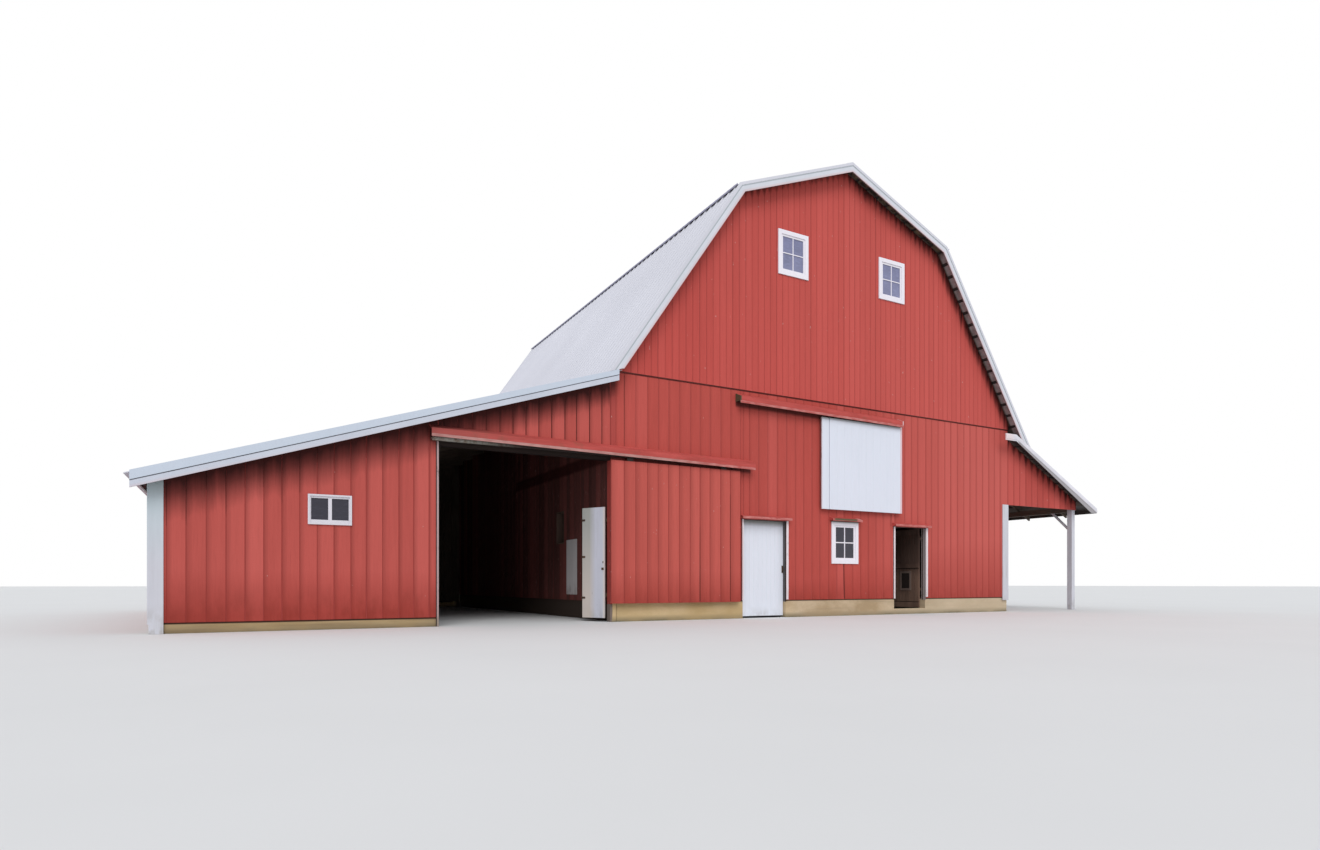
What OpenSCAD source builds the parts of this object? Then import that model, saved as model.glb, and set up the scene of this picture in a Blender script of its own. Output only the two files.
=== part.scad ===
// Gambrel barn with a closed lean-to on its left side and an open porch on its right side.
// X runs along the front to the right, Y from the front to the back, and Z up.
// The modules measure from the main barn's front left corner at the lowest ground, and the
// lines at the end of the file move each piece so that the middle of the whole base is the origin.

/* [Main barn] */
// Width of the main barn across its front
main_w = 11600; // [11000:50:12600]
// Depth of the barn from front wall to back wall
main_d = 12000; // [10800:100:13800]
// Thickness of the framed and boarded walls
wall_t = 140; // [120:5:160]
// Height of the side walls, where the rafters sit
side_wall_z = 4880; // [4860:10:4920]
// Height of the seam where the gable siding laps over the lower siding
belt_z = 4840; // [4760:10:4850]
// Distance that the gable siding stands in front of the lower siding
gable_lap = 25; // [15:1:40]
// Space between the pieces of the roofs, and between them and the walls
roof_gap = 0.5; // [0.3:0.1:0.7]

/* [Foundation] */
// Height of the main barn's foundation
found_z = 380; // [300:10:420]
// Height of the lean-to's foundation
lean_found_z = 160; // [120:10:220]
// Thickness of the foundation walls
found_t = 200; // [180:5:240]
// Distance of the foundation's face behind the siding
found_inset = 20; // [5:1:40]

/* [Gambrel roof] */
// Height of the roof's peak
apex_z = 10275; // [10150:25:10500]
// Height of the bend between the upper and the lower slope
knee_z = 9030; // [8980:10:9060]
// Distance of the bend from the side wall's face
knee_in = 2700; // [2660:10:2720]
// Pitch of the lower slope in degrees
lower_pitch = 55.4; // [55:0.1:56]
// Overhang of the roofs past the front and back walls
rake_over = 310; // [250:10:400]

/* [Lean-to] */
// Width of the lean-to
lean_w = 7500; // [7000:50:7900]
// Height of the lean-to roof at the main barn's wall
lean_top_z = 4810; // [4780:5:4835]
// Pitch of the lean-to roof in degrees
lean_pitch = 17.85; // [17.5:0.05:18.4]
// Overhang of the lean-to roof at its eave
lean_eave = 200; // [150:10:300]
// Length of the lean-to's metal sheets past its eave board
lean_drip = 75; // [40:5:90]
// Height of the lean-to's eave board
lean_eave_board = 60; // [50:5:90]
// Depth of the rafter tails outside the lean-to's wall
tail_d = 45; // [40:5:70]

/* [Porch] */
// Width of the porch
porch_w = 3010; // [2800:10:3200]
// Height of the porch roof at the main barn's wall
porch_top_z = 4630; // [4600:5:4660]
// Pitch of the porch roof in degrees
porch_pitch = 26.5; // [26:0.1:27]
// Overhang of the porch roof at its eave
porch_eave = 470; // [350:10:550]
// Height of the porch gable's lower edge
porch_gable_z = 2840; // [2780:10:2880]
// Thickness of the boards that close the porch gables
porch_gable_t = 40; // [30:1:50]
// Side of the square porch posts
post_w = 140; // [120:5:160]
// Number of porch posts
post_count = 5; // [3:1:6]
// Length of each leg of the knee braces
brace_leg = 520; // [400:10:600]
// Height of the beam on the porch posts
beam_h = 150; // [140:5:180]

/* [Roof covering] */
// Height of the ribs on the metal sheets
rib_h = 20; // [12:1:26]
// Distance from rib to rib
rib_pitch = 229; // [200:1:305]
// Width of a rib at its foot
rib_foot = 60; // [45:1:80]
// Width of a rib at its top
rib_top = 22; // [14:1:30]
// Thickness of the sheet between the ribs
pan_t = 6; // [4:1:8]
// Thickness of the roof boards
board_t = 25; // [19:1:30]
// Width of the roof boards
board_w = 250; // [220:5:270]
// Distance from roof board to roof board
board_pitch = 328; // [305:1:350]
// Length of the upper sheets past the bend
knee_drip = 80; // [40:1:90]
// Space between the two upper sheets under the ridge cap
ridge_gap = 20; // [10:1:40]
// Width of each leg of the ridge cap
cap_w = 190; // [150:5:230]
// Thickness of the ridge cap
cap_t = 5; // [4:1:8]

/* [Rafters and loft] */
// Depth of the rafters
rafter_d = 140; // [125:5:160]
// Thickness of the rafters
rafter_t = 45; // [38:1:60]
// Distance between the main rafters
rafter_pitch = 610; // [550:10:660]
// Distance between the rafters of the lean-to and the porch
side_rafter_pitch = 1200; // [1000:10:1400]
// Height of the loft floor's top
loft_z = 2400; // [2370:5:2400]
// Thickness of the loft floor
loft_t = 45; // [35:1:50]
// Depth of the loft joists
joist_d = 190; // [170:5:210]
// Thickness of the loft joists
joist_t = 50; // [40:1:60]
// Distance between the loft joists
joist_pitch = 610; // [550:10:660]
// Side of the square girders under the joists
girder_w = 200; // [180:5:220]
// Distance of each row of loft posts from the middle
loft_row = 1450; // [1440:5:1460]
// Number of posts in each row
loft_post_count = 3; // [2:1:4]

/* [Trim boards] */
// Thickness of the trim boards
trim_t = 25; // [18:1:30]
// Width of the rake boards on the main roof
rake_w = 195; // [170:5:220]
// Width of the lean-to's rake board
lean_board_w = 105; // [90:5:130]
// Width of the metal edge above that board, at the eave
lean_edge_low = 130; // [110:5:140]
// Width of the metal edge above that board, at the top
lean_edge_high = 93; // [80:1:110]
// Thickness of that metal edge
lean_edge_t = 12; // [8:1:15]
// Width of the groove under that metal edge
lean_groove = 14; // [8:1:20]
// Distance of the lean-to rake's upper end from the main wall
lean_rake_gap = 75; // [50:5:120]
// Width of the porch's rake board at its upper end
porch_rake_high = 155; // [140:5:170]
// Width of the porch's rake board at its lower end
porch_rake_low = 250; // [220:5:270]
// Height of the upright end of that board at the eave
porch_heel = 135; // [120:5:150]
// Length of the level cap at the upper end of the porch rake
porch_cap = 420; // [350:10:450]
// Distance that the porch rake runs past the main wall's corner
porch_rake_in = 60; // [20:10:120]
// Width of the corner board at the left of the lean-to
lean_corner_w = 180; // [150:5:200]
// Width of the corner board at the right of the main front
main_corner_w = 225; // [190:5:240]
// Height of the lower end of that board
main_corner_z = 300; // [250:10:340]

/* [Big doorway and sliding door] */
// Distance of the big doorway's left side from the main barn
big_left = 3370; // [3300:10:3400]
// Distance of its right side from the main barn
big_right = 120; // [110:5:140]
// Height of the big doorway
big_z = 3110; // [3060:10:3110]
// Width of the sliding leaf
leaf_w = 3000; // [2960:10:3000]
// Thickness of the sliding leaf
leaf_t = 45; // [38:1:50]
// Height of the leaf's lower edge
leaf_z0 = 353; // [330:1:380]
// Height of the leaf's upper edge
leaf_z1 = 3100; // [3080:5:3110]
// Distance of the open leaf's left edge from the main barn
leaf_rest = 150; // [140:5:200]
// Space between the leaves and the wall
leaf_gap = 60; // [50:1:75]
// Height of the track's lower face above a leaf
track_up = 70; // [60:1:80]
// Side of the square track
track_s = 56; // [54:1:60]
// Thickness of the track's steel
track_steel = 4; // [3:1:4]
// Width of the slot along the underside of the track
track_slot = 22; // [21:1:24]
// Length of the track past the doorway and past the leaf
track_past = 120; // [100:5:150]
// Length of the big doorway's track past the open leaf
track_right = 300; // [250:10:320]
// Length of a hood past its track
hood_past = 30; // [25:1:45]
// Radius of the hanger wheels
wheel_r = 17; // [15:1:18]
// Width of a hanger wheel
wheel_w = 14; // [13:1:15]
// Space between a wheel and the track
wheel_gap = 0.3; // [0.2:0.1:0.5]
// Thickness of the hanger plates
plate_t = 10; // [8:1:10]
// Distance of a hanger from the leaf's edge
hanger_in = 350; // [250:10:450]
// Width of a hanger
hanger_w = 130; // [110:5:150]

/* [Hoods] */
// Distance that the track hoods stand out from the wall
track_hood_out = 185; // [170:5:200]
// Height of the board along the front of the track hoods
hood_lip = 145; // [135:1:155]
// Thickness of the hood boards
hood_t = 20; // [16:1:24]
// Fall of the track hoods from the wall to their front
hood_fall = 80; // [60:5:90]
// Height of the big doorway's hood above the leaf, at its left end
big_hood_up = 122; // [118:1:130]
// Fall of that hood from its left end to its right end
big_hood_sag = 90; // [60:5:95]
// Height of the loft hood above the loft door, at its left end
loft_hood_up = 36; // [34:1:50]
// Fall of the loft hood from its left end to its right end
loft_hood_sag = 50; // [30:5:55]
// Height of the metal edges along the front of all hoods
hood_edge = 50; // [40:1:60]
// Thickness of these metal edges
hood_edge_t = 3; // [2:1:4]
// Distance that the small hoods stand out from the wall
small_hood_out = 115; // [90:5:150]
// Fall of the small hoods
small_hood_fall = 40; // [25:1:55]
// Height of a small hood above its opening
small_hood_up = 35; // [30:1:45]
// Length of a small hood past each side of its opening
small_hood_past = 80; // [75:5:90]
// Length of the window's hood past each side of the window
window_hood_past = 45; // [30:5:60]
// Length of the broken right end of the window's hood
window_hood_end = 130; // [100:5:200]
// Angle at which that end hangs down
window_hood_tilt = 5; // [2:0.5:7]

/* [Small doors] */
// Distance of the white door's opening from the main barn's left side
white_x = 2990; // [2985:1:3050]
// Width of that opening
white_w = 1150; // [1100:5:1200]
// Distance of the dark door's opening from the main barn's left side
dark_x = 7430; // [7380:10:7500]
// Width of that opening
dark_w = 1060; // [1000:5:1100]
// Height of both openings
door_head = 2106; // [2090:1:2110]
// Height of the sill under the dark door
dark_sill = 130; // [100:5:150]
// Height of the white door's lower edge
white_z0 = 40; // [30:1:60]
// Thickness of the small doors
door_t = 45; // [38:1:45]
// Space around the small doors
door_gap = 8; // [6:1:10]
// Distance of the hinge pins inside the wall
pin_in = 22; // [21:1:26]
// Radius of the hinge pins
pin_r = 8; // [6:0.5:9]
// Space around the pins in the strap eyes
pin_gap = 0.3; // [0.2:0.1:0.5]
// Thickness of the strap hinges
strap_t = 6; // [5:0.5:6]
// Height of the strap hinges
strap_h = 50; // [40:5:60]
// Distance of the upper strap hinges from a leaf's upper edge
strap_high = 250; // [200:10:350]
// Distance of the lower strap hinges from a leaf's lower edge
strap_low = 450; // [420:10:550]
// Width of the trim boards beside the small doors
door_trim_w = 65; // [50:1:74]
// Width of the narrow leaf beside the big doorway
side_leaf_w = 560; // [530:5:590]
// Height of its lower edge
side_leaf_z0 = 70; // [60:5:100]
// Height of its upper edge
side_leaf_z1 = 2220; // [2150:10:2260]
// Angle at which the narrow leaf stands open
side_leaf_open = 62.6; // [55:0.1:75]
// Angle at which the dark door stands open
dark_open = 90; // [80:1:90]

/* [Loft door] */
// Distance of the loft door from the main barn's left side
loft_door_x = 5080; // [5050:10:5150]
// Width of the loft door
loft_door_w = 2490; // [2450:10:2520]
// Height of the loft door's lower edge
loft_door_z0 = 2417; // [2410:1:2425]
// Height of its upper edge
loft_door_z1 = 4481; // [4460:1:4490]
// Distance that the loft door laps over its opening
loft_door_lap = 75; // [60:5:90]
// Length of the loft track to the left of the door
loft_track_left = 2255; // [2200:5:2350]
// Distance of the loft track's right end from that edge of the door
loft_track_short = 70; // [60:5:90]

/* [Windows] */
// Width of the window casing boards
casing_w = 62; // [50:1:70]
// Thickness of the window frames
frame_t = 30; // [24:1:34]
// Width of the sash bars around the glass
sash_w = 42; // [36:1:50]
// Thickness of the sashes
sash_t = 36; // [30:1:40]
// Distance of the sashes behind the casings' faces
sash_in = 17; // [12:1:25]
// Thickness of the glass
glass_t = 5; // [4:1:6]
// Width of the main window over its casing
main_win_w = 810; // [760:5:850]
// Height of the main window over its casing
main_win_h = 967; // [900:1:975]
// Distance of the main window's middle from the main barn's left side
main_win_x = 5835; // [5800:5:5900]
// Height of the main window's middle
main_win_z = 1676; // [1650:1:1680]
// Width of the gable windows over their casings
gable_win_w = 835; // [800:5:900]
// Height of the gable windows over their casings
gable_win_h = 977; // [920:1:1020]
// Distance of the gable windows from the middle
gable_win_out = 1490; // [1450:10:1520]
// Height of the middle of the gable windows
gable_win_z = 7972; // [7900:1:8000]
// Width of the lean-to window over its casing
lean_win_w = 650; // [600:1:700]
// Height of the lean-to window over its casing
lean_win_h = 480; // [440:1:500]
// Distance of the lean-to window's middle from the main barn
lean_win_x = 5080; // [5000:10:5150]
// Height of the lean-to window's middle
lean_win_z = 1916; // [1900:1:1950]
// Width of the lean-to window's casing boards
lean_casing_w = 16; // [12:1:20]
// Thickness of the lean-to window's frame
lean_frame_t = 12; // [10:1:15]
// Width of the lean-to window's sash bars
lean_sash_w = 19; // [15:1:24]
// Distance of the inner wall's window from the front
inner_win_y = 2900; // [2880:10:3000]
// Width of that window over its frame
inner_win_w = 460; // [420:5:500]
// Height of that window over its frame
inner_win_h = 730; // [700:5:760]
// Height of that window's middle
inner_win_z = 1995; // [1950:5:2050]
// Distance of the wall hatch's middle from the front
hatch_y = 2230; // [2180:10:2250]
// Width of the wall hatch
hatch_w = 600; // [560:5:640]
// Height of the wall hatch's lower edge
hatch_z0 = 500; // [460:5:520]
// Height of its upper edge
hatch_z1 = 1700; // [1650:5:1750]

/* [Hidden] */

barn_red = [0.62, 0.2, 0.18];
trim_white = [0.86, 0.87, 0.88];
roof_white = [0.82, 0.84, 0.87];
concrete = [0.72, 0.64, 0.5];
old_wood = [0.38, 0.32, 0.27];
bare_steel = [0.5, 0.5, 0.5];

mid_x = main_w / 2;
// Distance of the bend from the middle
knee_half = mid_x - knee_in;
upper_pitch = atan((apex_z - knee_z) / knee_half);
// Depths under the sheets' outer face: the sheets' underside, the roof boards' two faces, and
// the tops of the walls and rafters with the rafters' underside
sheet_off = rib_h + pan_t;
board_off = sheet_off + roof_gap;
rafter_off = board_off + board_t;
seat_off = rafter_off + roof_gap;
under_off = seat_off + rafter_d;
lean_eave_x = -lean_w - lean_eave;
porch_x = main_w + porch_w;
porch_eave_x = porch_x + porch_eave;
roof_y0 = -rake_over;
roof_y1 = main_d + rake_over;
// The sheets and roof boards run between the rake boards
cover_y0 = roof_y0 + trim_t + roof_gap;
cover_y1 = roof_y1 - trim_t - roof_gap;
leaf_mid_y = -leaf_gap - leaf_t / 2;
// Distance of the lean-to's rake board behind its metal edge
lean_board_in = lean_edge_t / 3;
// Space at the break in the window's hood
break_gap = 0.5;
// Part of a small hood's depth that its brackets reach at their lower edge
bracket_part = 0.8;
// Part of a leaf's width that its strap hinges reach
strap_part = 0.6;
pin_y = wall_t + pin_in;
// Far beyond every piece, for the cutting shapes
far = 20000;

// Middle of the whole outer box, which becomes the origin
centre_x = (lean_eave_x - lean_drip + porch_eave_x + trim_t) / 2;
centre_y = main_d / 2;

// Heights of the main roof at a distance u from the middle and a depth t under its outer face
function upper_z(u, t) = apex_z - u * tan(upper_pitch) - t / cos(upper_pitch);
function lower_z(u, t) = knee_z - (u - knee_half) * tan(lower_pitch) - t / cos(lower_pitch);
function knee_u(t) = knee_half
    - t * (1 / cos(lower_pitch) - 1 / cos(upper_pitch)) / (tan(lower_pitch) - tan(upper_pitch));
function foot_u(z, t) = knee_half + (knee_z - z - t / cos(lower_pitch)) / tan(lower_pitch);

// Points of the right half of the main roof, s along the slope and t deep, from the middle
function upper_point(s, t) = [
    s * cos(upper_pitch) - t * sin(upper_pitch),
    apex_z - s * sin(upper_pitch) - t * cos(upper_pitch)
];
function lower_point(s, t) = [
    knee_half + s * cos(lower_pitch) - t * sin(lower_pitch),
    knee_z - s * sin(lower_pitch) - t * cos(lower_pitch)
];

// Heights of the side roofs at x, at a depth t under their outer faces
function lean_z(x, t) = lean_top_z + x * tan(lean_pitch) - t / cos(lean_pitch);
function porch_z(x, t) = porch_top_z - (x - main_w) * tan(porch_pitch) - t / cos(porch_pitch);

// Points of the side roofs, s down the slope from the main wall and t deep
function lean_point(s, t) = [
    -s * cos(lean_pitch) + t * sin(lean_pitch),
    lean_top_z - s * sin(lean_pitch) - t * cos(lean_pitch)
];
function porch_point(s, t) = [
    main_w + s * cos(porch_pitch) - t * sin(porch_pitch),
    porch_top_z - s * sin(porch_pitch) - t * cos(porch_pitch)
];

// How far outside the main wall the lower slope, at depth t, comes down on a side roof
function meet_out(top_z, pitch, t) =
    (lower_z(mid_x, t) - top_z) / (tan(lower_pitch) - tan(pitch));
function meet_s(top_z, pitch) =
    (mid_x + meet_out(top_z, pitch, rafter_off) - knee_half + rafter_off * sin(lower_pitch))
    / cos(lower_pitch);

upper_len = knee_half / cos(upper_pitch);
lean_len = (lean_w + lean_eave) / cos(lean_pitch);
porch_len = (porch_w + porch_eave) / cos(porch_pitch);

// A box from its low corner to its high corner
module block(low, high) {
    translate(low) cube(high - low);
}

// An outline in X and Z, drawn out from y0 to y1
module drawn_back(y0, y1) {
    translate([0, y1, 0]) rotate([90, 0, 0]) linear_extrude(y1 - y0) children();
}

// An outline in Y and Z, drawn out from x0 to x1
module drawn_right(x0, x1) {
    translate([x0, 0, 0]) rotate([90, 0, 90]) linear_extrude(x1 - x0) children();
}

// The left half's shape and its mirror image on the right
module both_halves() {
    translate([mid_x, 0, 0]) {
        children();
        mirror([1, 0, 0]) children();
    }
}

// Foundations
module main_foundation() {
    inner = found_inset + found_t;
    color(concrete) difference() {
        block([found_inset, found_inset, 0], [main_w - found_inset, main_d - found_inset, found_z]);
        block([inner, inner, -1], [main_w - inner, main_d - inner, found_z + 1]);
        block([white_x, 0, -1], [white_x + white_w, inner + 1, found_z + 1]);
        block([dark_x, 0, dark_sill], [dark_x + dark_w, inner + 1, found_z + 1]);
    }
}

module lean_foundation() {
    left = -lean_w + found_inset;
    back = main_d - found_inset;
    color(concrete) {
        block([left, found_inset, 0], [-big_left, found_inset + found_t, lean_found_z]);
        block([left, found_inset + found_t, 0], [left + found_t, back - found_t, lean_found_z]);
        block([left, back - found_t, 0], [0, back, lean_found_z]);
    }
}

// Walls
module front_wall_left() {
    color(barn_red) block([0, 0, found_z], [white_x, wall_t, door_head]);
}

module front_wall_middle() {
    color(barn_red) difference() {
        block([white_x + white_w, 0, found_z], [dark_x, wall_t, door_head]);
        window_hole(main_win_x, main_win_z, main_win_w, main_win_h, wide_edge);
    }
}

module front_wall_right() {
    color(barn_red) block([dark_x + dark_w, 0, found_z], [main_w, wall_t, door_head]);
}

module front_wall_upper() {
    color(barn_red) difference() {
        block([0, 0, door_head], [main_w, wall_t, belt_z]);
        block(
            [loft_door_x + loft_door_lap, -1, loft_door_z0 + loft_door_lap],
            [loft_door_x + loft_door_w - loft_door_lap, wall_t + 1, loft_door_z1 - loft_door_lap]
        );
    }
}

module gable(y0, y1) {
    u = knee_u(seat_off);
    side_z = lower_z(mid_x, seat_off);
    color(barn_red) difference() {
        drawn_back(y0, y1) polygon([
            [0, belt_z], [0, side_z], [mid_x - u, upper_z(u, seat_off)],
            [mid_x, upper_z(0, seat_off)], [mid_x + u, upper_z(u, seat_off)],
            [main_w, side_z], [main_w, belt_z]
        ]);
        for (side = [-1, 1])
            translate([0, y0, 0])
                window_hole(
                    mid_x + side * gable_win_out, gable_win_z, gable_win_w, gable_win_h, wide_edge
                );
    }
}

module front_gable() {
    gable(-gable_lap, wall_t);
}

module back_wall() {
    color(barn_red) difference() {
        block([0, main_d - wall_t, found_z], [main_w, main_d, belt_z]);
        translate([0, main_d - wall_t, 0])
            window_hole(main_win_x, main_win_z, main_win_w, main_win_h, wide_edge);
    }
}

module back_gable() {
    gable(main_d - wall_t, main_d + gable_lap);
}

module side_walls() {
    color(barn_red) {
        difference() {
            block([0, wall_t, found_z], [wall_t, main_d - wall_t, side_wall_z]);
            block(
                [-1, inner_win_y - inner_win_w / 2, inner_win_z - inner_win_h / 2],
                [wall_t + 1, inner_win_y + inner_win_w / 2, inner_win_z + inner_win_h / 2]
            );
            block(
                [-1, hatch_y - hatch_w / 2, hatch_z0],
                [wall_t + 1, hatch_y + hatch_w / 2, hatch_z1]
            );
        }
        block([main_w - wall_t, wall_t, found_z], [main_w, main_d - wall_t, side_wall_z]);
    }
}

module lean_front_wall() {
    color(barn_red) difference() {
        drawn_back(0, wall_t) polygon([
            [-lean_w, lean_found_z], [-lean_w, lean_z(-lean_w, seat_off)],
            [-big_left, lean_z(-big_left, seat_off)], [-big_left, lean_found_z]
        ]);
        window_hole(-lean_win_x, lean_win_z, lean_win_w, lean_win_h, thin_edge);
    }
}

module lean_front_header() {
    color(barn_red) drawn_back(0, wall_t) polygon([
        [-big_left, big_z], [-big_left, lean_z(-big_left, seat_off)],
        [0, lean_z(0, seat_off)], [0, 0], [-big_right, 0], [-big_right, big_z]
    ]);
}

// The side wall's top is level, and the rafters are notched over it
lean_wall_z = lean_z(-lean_w, under_off) + rafter_d / 6;

module lean_side_wall() {
    color(barn_red) block(
        [-lean_w, wall_t, lean_found_z], [-lean_w + wall_t, main_d - wall_t, lean_wall_z]
    );
}

module lean_back_wall() {
    color(barn_red) difference() {
        drawn_back(main_d - wall_t, main_d) polygon([
            [-lean_w, lean_found_z], [-lean_w, lean_z(-lean_w, seat_off)],
            [0, lean_z(0, seat_off)], [0, lean_found_z]
        ]);
        translate([0, main_d - wall_t, 0])
            window_hole(-lean_win_x, lean_win_z, lean_win_w, lean_win_h, thin_edge);
    }
}

// Porch
module porch_gable(y0, y1) {
    drawn_back(y0, y1) polygon([
        [main_w, porch_gable_z], [main_w, porch_z(main_w, seat_off)],
        [porch_x, porch_z(porch_x, seat_off)], [porch_x, porch_gable_z]
    ]);
}

module porch_gables() {
    color(barn_red) {
        porch_gable(0, porch_gable_t);
        porch_gable(main_d - porch_gable_t, main_d);
    }
}

beam_top = porch_z(porch_x, under_off) + rafter_d / 6;
post_first = porch_gable_t;
post_last = main_d - porch_gable_t - post_w;
post_step = (post_last - post_first) / (post_count - 1);

module porch_posts() {
    color(trim_white) for (i = [0 : post_count - 1]) {
        y = post_first + i * post_step;
        top = (i == 0 || i == post_count - 1) ? beam_top : beam_top - beam_h;
        block([porch_x - post_w, y, 0], [porch_x, y + post_w, top]);
    }
}

module porch_beam() {
    color(trim_white) block(
        [porch_x - post_w, post_first + post_w, beam_top - beam_h],
        [porch_x, post_last, beam_top]
    );
}

// A brace at 45 degrees from a post, at y, up to the beam
module brace(y, way) {
    thick = post_w / 2;
    z = beam_top - beam_h;
    drawn_right(porch_x - post_w + thick / 2, porch_x - thick / 2) polygon([
        [y, z - brace_leg], [y + way * brace_leg, z],
        [y + way * (brace_leg - thick), z], [y, z - brace_leg + thick]
    ]);
}

module porch_braces() {
    color(trim_white) for (i = [0 : post_count - 1]) {
        y = post_first + i * post_step;
        if (i > 0) brace(y, -1);
        if (i < post_count - 1) brace(y + post_w, 1);
    }
}

// Loft
module loft_floor() {
    color(old_wood) block(
        [wall_t, wall_t, loft_z - loft_t], [main_w - wall_t, main_d - wall_t, loft_z]
    );
}

joist_top = loft_z - loft_t;
joist_count = floor((main_d - 2 * wall_t - joist_t) / joist_pitch) + 1;
joist_first = main_d / 2 - ((joist_count - 1) * joist_pitch + joist_t) / 2;

module loft_joists() {
    color(old_wood) for (i = [0 : joist_count - 1]) {
        y = joist_first + i * joist_pitch;
        block([wall_t, y, joist_top - joist_d], [main_w - wall_t, y + joist_t, joist_top]);
    }
}

girder_top = joist_top - joist_d;

module loft_girders() {
    color(old_wood) for (side = [-1, 1]) {
        x = mid_x + side * loft_row - girder_w / 2;
        block([x, wall_t, girder_top - girder_w], [x + girder_w, main_d - wall_t, girder_top]);
    }
}

module loft_posts() {
    color(old_wood) for (side = [-1, 1]) for (i = [1 : loft_post_count]) {
        x = mid_x + side * loft_row - girder_w / 2;
        y = main_d * i / (loft_post_count + 1) - girder_w / 2;
        block([x, y, 0], [x + girder_w, y + girder_w, girder_top - girder_w]);
    }
}

// Rafters
module main_frame(y) {
    out = knee_u(seat_off);
    in = knee_u(under_off);
    foot = foot_u(side_wall_z, under_off);
    side_z = lower_z(mid_x, seat_off);
    drawn_back(y, y + rafter_t) translate([mid_x, 0]) polygon([
        [-mid_x, side_wall_z], [-mid_x, side_z], [-out, upper_z(out, seat_off)],
        [0, upper_z(0, seat_off)], [out, upper_z(out, seat_off)],
        [mid_x, side_z], [mid_x, side_wall_z], [foot, side_wall_z],
        [in, upper_z(in, under_off)], [0, upper_z(0, under_off)],
        [-in, upper_z(in, under_off)], [-foot, side_wall_z]
    ]);
}

frame_count = floor((main_d - 2 * wall_t - rafter_t) / rafter_pitch) + 1;
frame_first = main_d / 2 - ((frame_count - 1) * rafter_pitch + rafter_t) / 2;

module main_rafters() {
    color(old_wood) for (i = [0 : frame_count - 1]) main_frame(frame_first + i * rafter_pitch);
}

side_count = floor((main_d - 2 * wall_t - rafter_t) / side_rafter_pitch) + 1;
side_first = main_d / 2 - ((side_count - 1) * side_rafter_pitch + rafter_t) / 2;

module side_rafters() {
    color(old_wood) for (i = [0 : side_count - 1]) {
        y = side_first + i * side_rafter_pitch;
        tail_x = lean_eave_x + trim_t;
        tail_off = seat_off + tail_d;
        drawn_back(y, y + rafter_t) difference() {
            polygon([
                [tail_x, lean_z(tail_x, seat_off)], [0, lean_z(0, seat_off)],
                [0, lean_z(0, under_off)], [-lean_w, lean_z(-lean_w, under_off)],
                [-lean_w, lean_z(-lean_w, tail_off)], [tail_x, lean_z(tail_x, tail_off)]
            ]);
            translate([-lean_w, 0]) square([wall_t, lean_wall_z]);
        }
        drawn_back(y, y + rafter_t) difference() {
            polygon([
                [porch_eave_x, porch_z(porch_eave_x, seat_off)],
                [main_w, porch_z(main_w, seat_off)], [main_w, porch_z(main_w, under_off)],
                [porch_eave_x, porch_z(porch_eave_x, under_off)]
            ]);
            translate([porch_x - post_w, 0]) square([post_w, beam_top]);
        }
    }
}

// Roof boards, with a space from each board to the next
module roof_board(corners) {
    drawn_back(cover_y0, cover_y1) polygon(corners);
}

// The lowest upper board ends at the bend's mitre, clear of the lower sheet
upper_end = (knee_u(board_off) + board_off * sin(upper_pitch)) / cos(upper_pitch);
upper_boards = floor((upper_end - board_w) / board_pitch);

module main_roof_boards() {
    color(old_wood) both_halves() {
        for (i = [0 : upper_boards]) {
            s = upper_end - board_w - i * board_pitch;
            roof_board([
                upper_point(s, board_off), upper_point(s + board_w, board_off),
                upper_point(s + board_w, rafter_off), upper_point(s, rafter_off)
            ]);
        }
    }
    color(old_wood) {
        lower_boards(meet_s(porch_top_z, porch_pitch), 0);
        lower_boards(meet_s(lean_top_z, lean_pitch), 1);
    }
}

module lower_boards(s_end, flip) {
    first = board_pitch - board_w;
    count = floor((s_end - first - board_w) / board_pitch);
    translate([mid_x, 0, 0]) mirror([flip, 0, 0]) for (i = [0 : count]) {
        s = first + i * board_pitch;
        roof_board([
            lower_point(s, board_off), lower_point(s + board_w, board_off),
            lower_point(s + board_w, rafter_off), lower_point(s, rafter_off)
        ]);
    }
}

module side_roof_boards() {
    color(old_wood) {
        for (s = [board_pitch : board_pitch : lean_len - trim_t]) roof_board([
            lean_point(s - board_w, board_off), lean_point(s, board_off),
            lean_point(s, rafter_off), lean_point(s - board_w, rafter_off)
        ]);
        for (s = [board_pitch : board_pitch : porch_len]) roof_board([
            porch_point(s - board_w, board_off), porch_point(s, board_off),
            porch_point(s, rafter_off), porch_point(s - board_w, rafter_off)
        ]);
    }
}

// Ribbed metal sheets: the outline of the ribs in Y and Z, seen along the slope
rib_count = floor((cover_y1 - cover_y0 - rib_foot) / rib_pitch);
rib_first = main_d / 2 - rib_count * rib_pitch / 2;

module rib_outline() {
    ribs = [for (i = [0 : rib_count]) let (y = rib_first + i * rib_pitch) each [
        [y - rib_foot / 2, -rib_h], [y - rib_top / 2, 0],
        [y + rib_top / 2, 0], [y + rib_foot / 2, -rib_h]
    ]];
    polygon(concat(
        [[cover_y0, -sheet_off], [cover_y0, -rib_h]],
        ribs,
        [[cover_y1, -rib_h], [cover_y1, -sheet_off]]
    ));
}

// A sheet that starts at a point of the roof's outer line and runs down to the right
module sheet(x, z, pitch, length) {
    translate([x, 0, z]) rotate([0, pitch, 0]) drawn_right(0, length) rib_outline();
}

module upper_roof() {
    start = (ridge_gap / 2 + sheet_off * sin(upper_pitch)) / cos(upper_pitch);
    color(roof_white) both_halves()
        translate([start * cos(upper_pitch), 0, -start * sin(upper_pitch)])
            sheet(0, apex_z, upper_pitch, upper_len + knee_drip - start);
}

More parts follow.
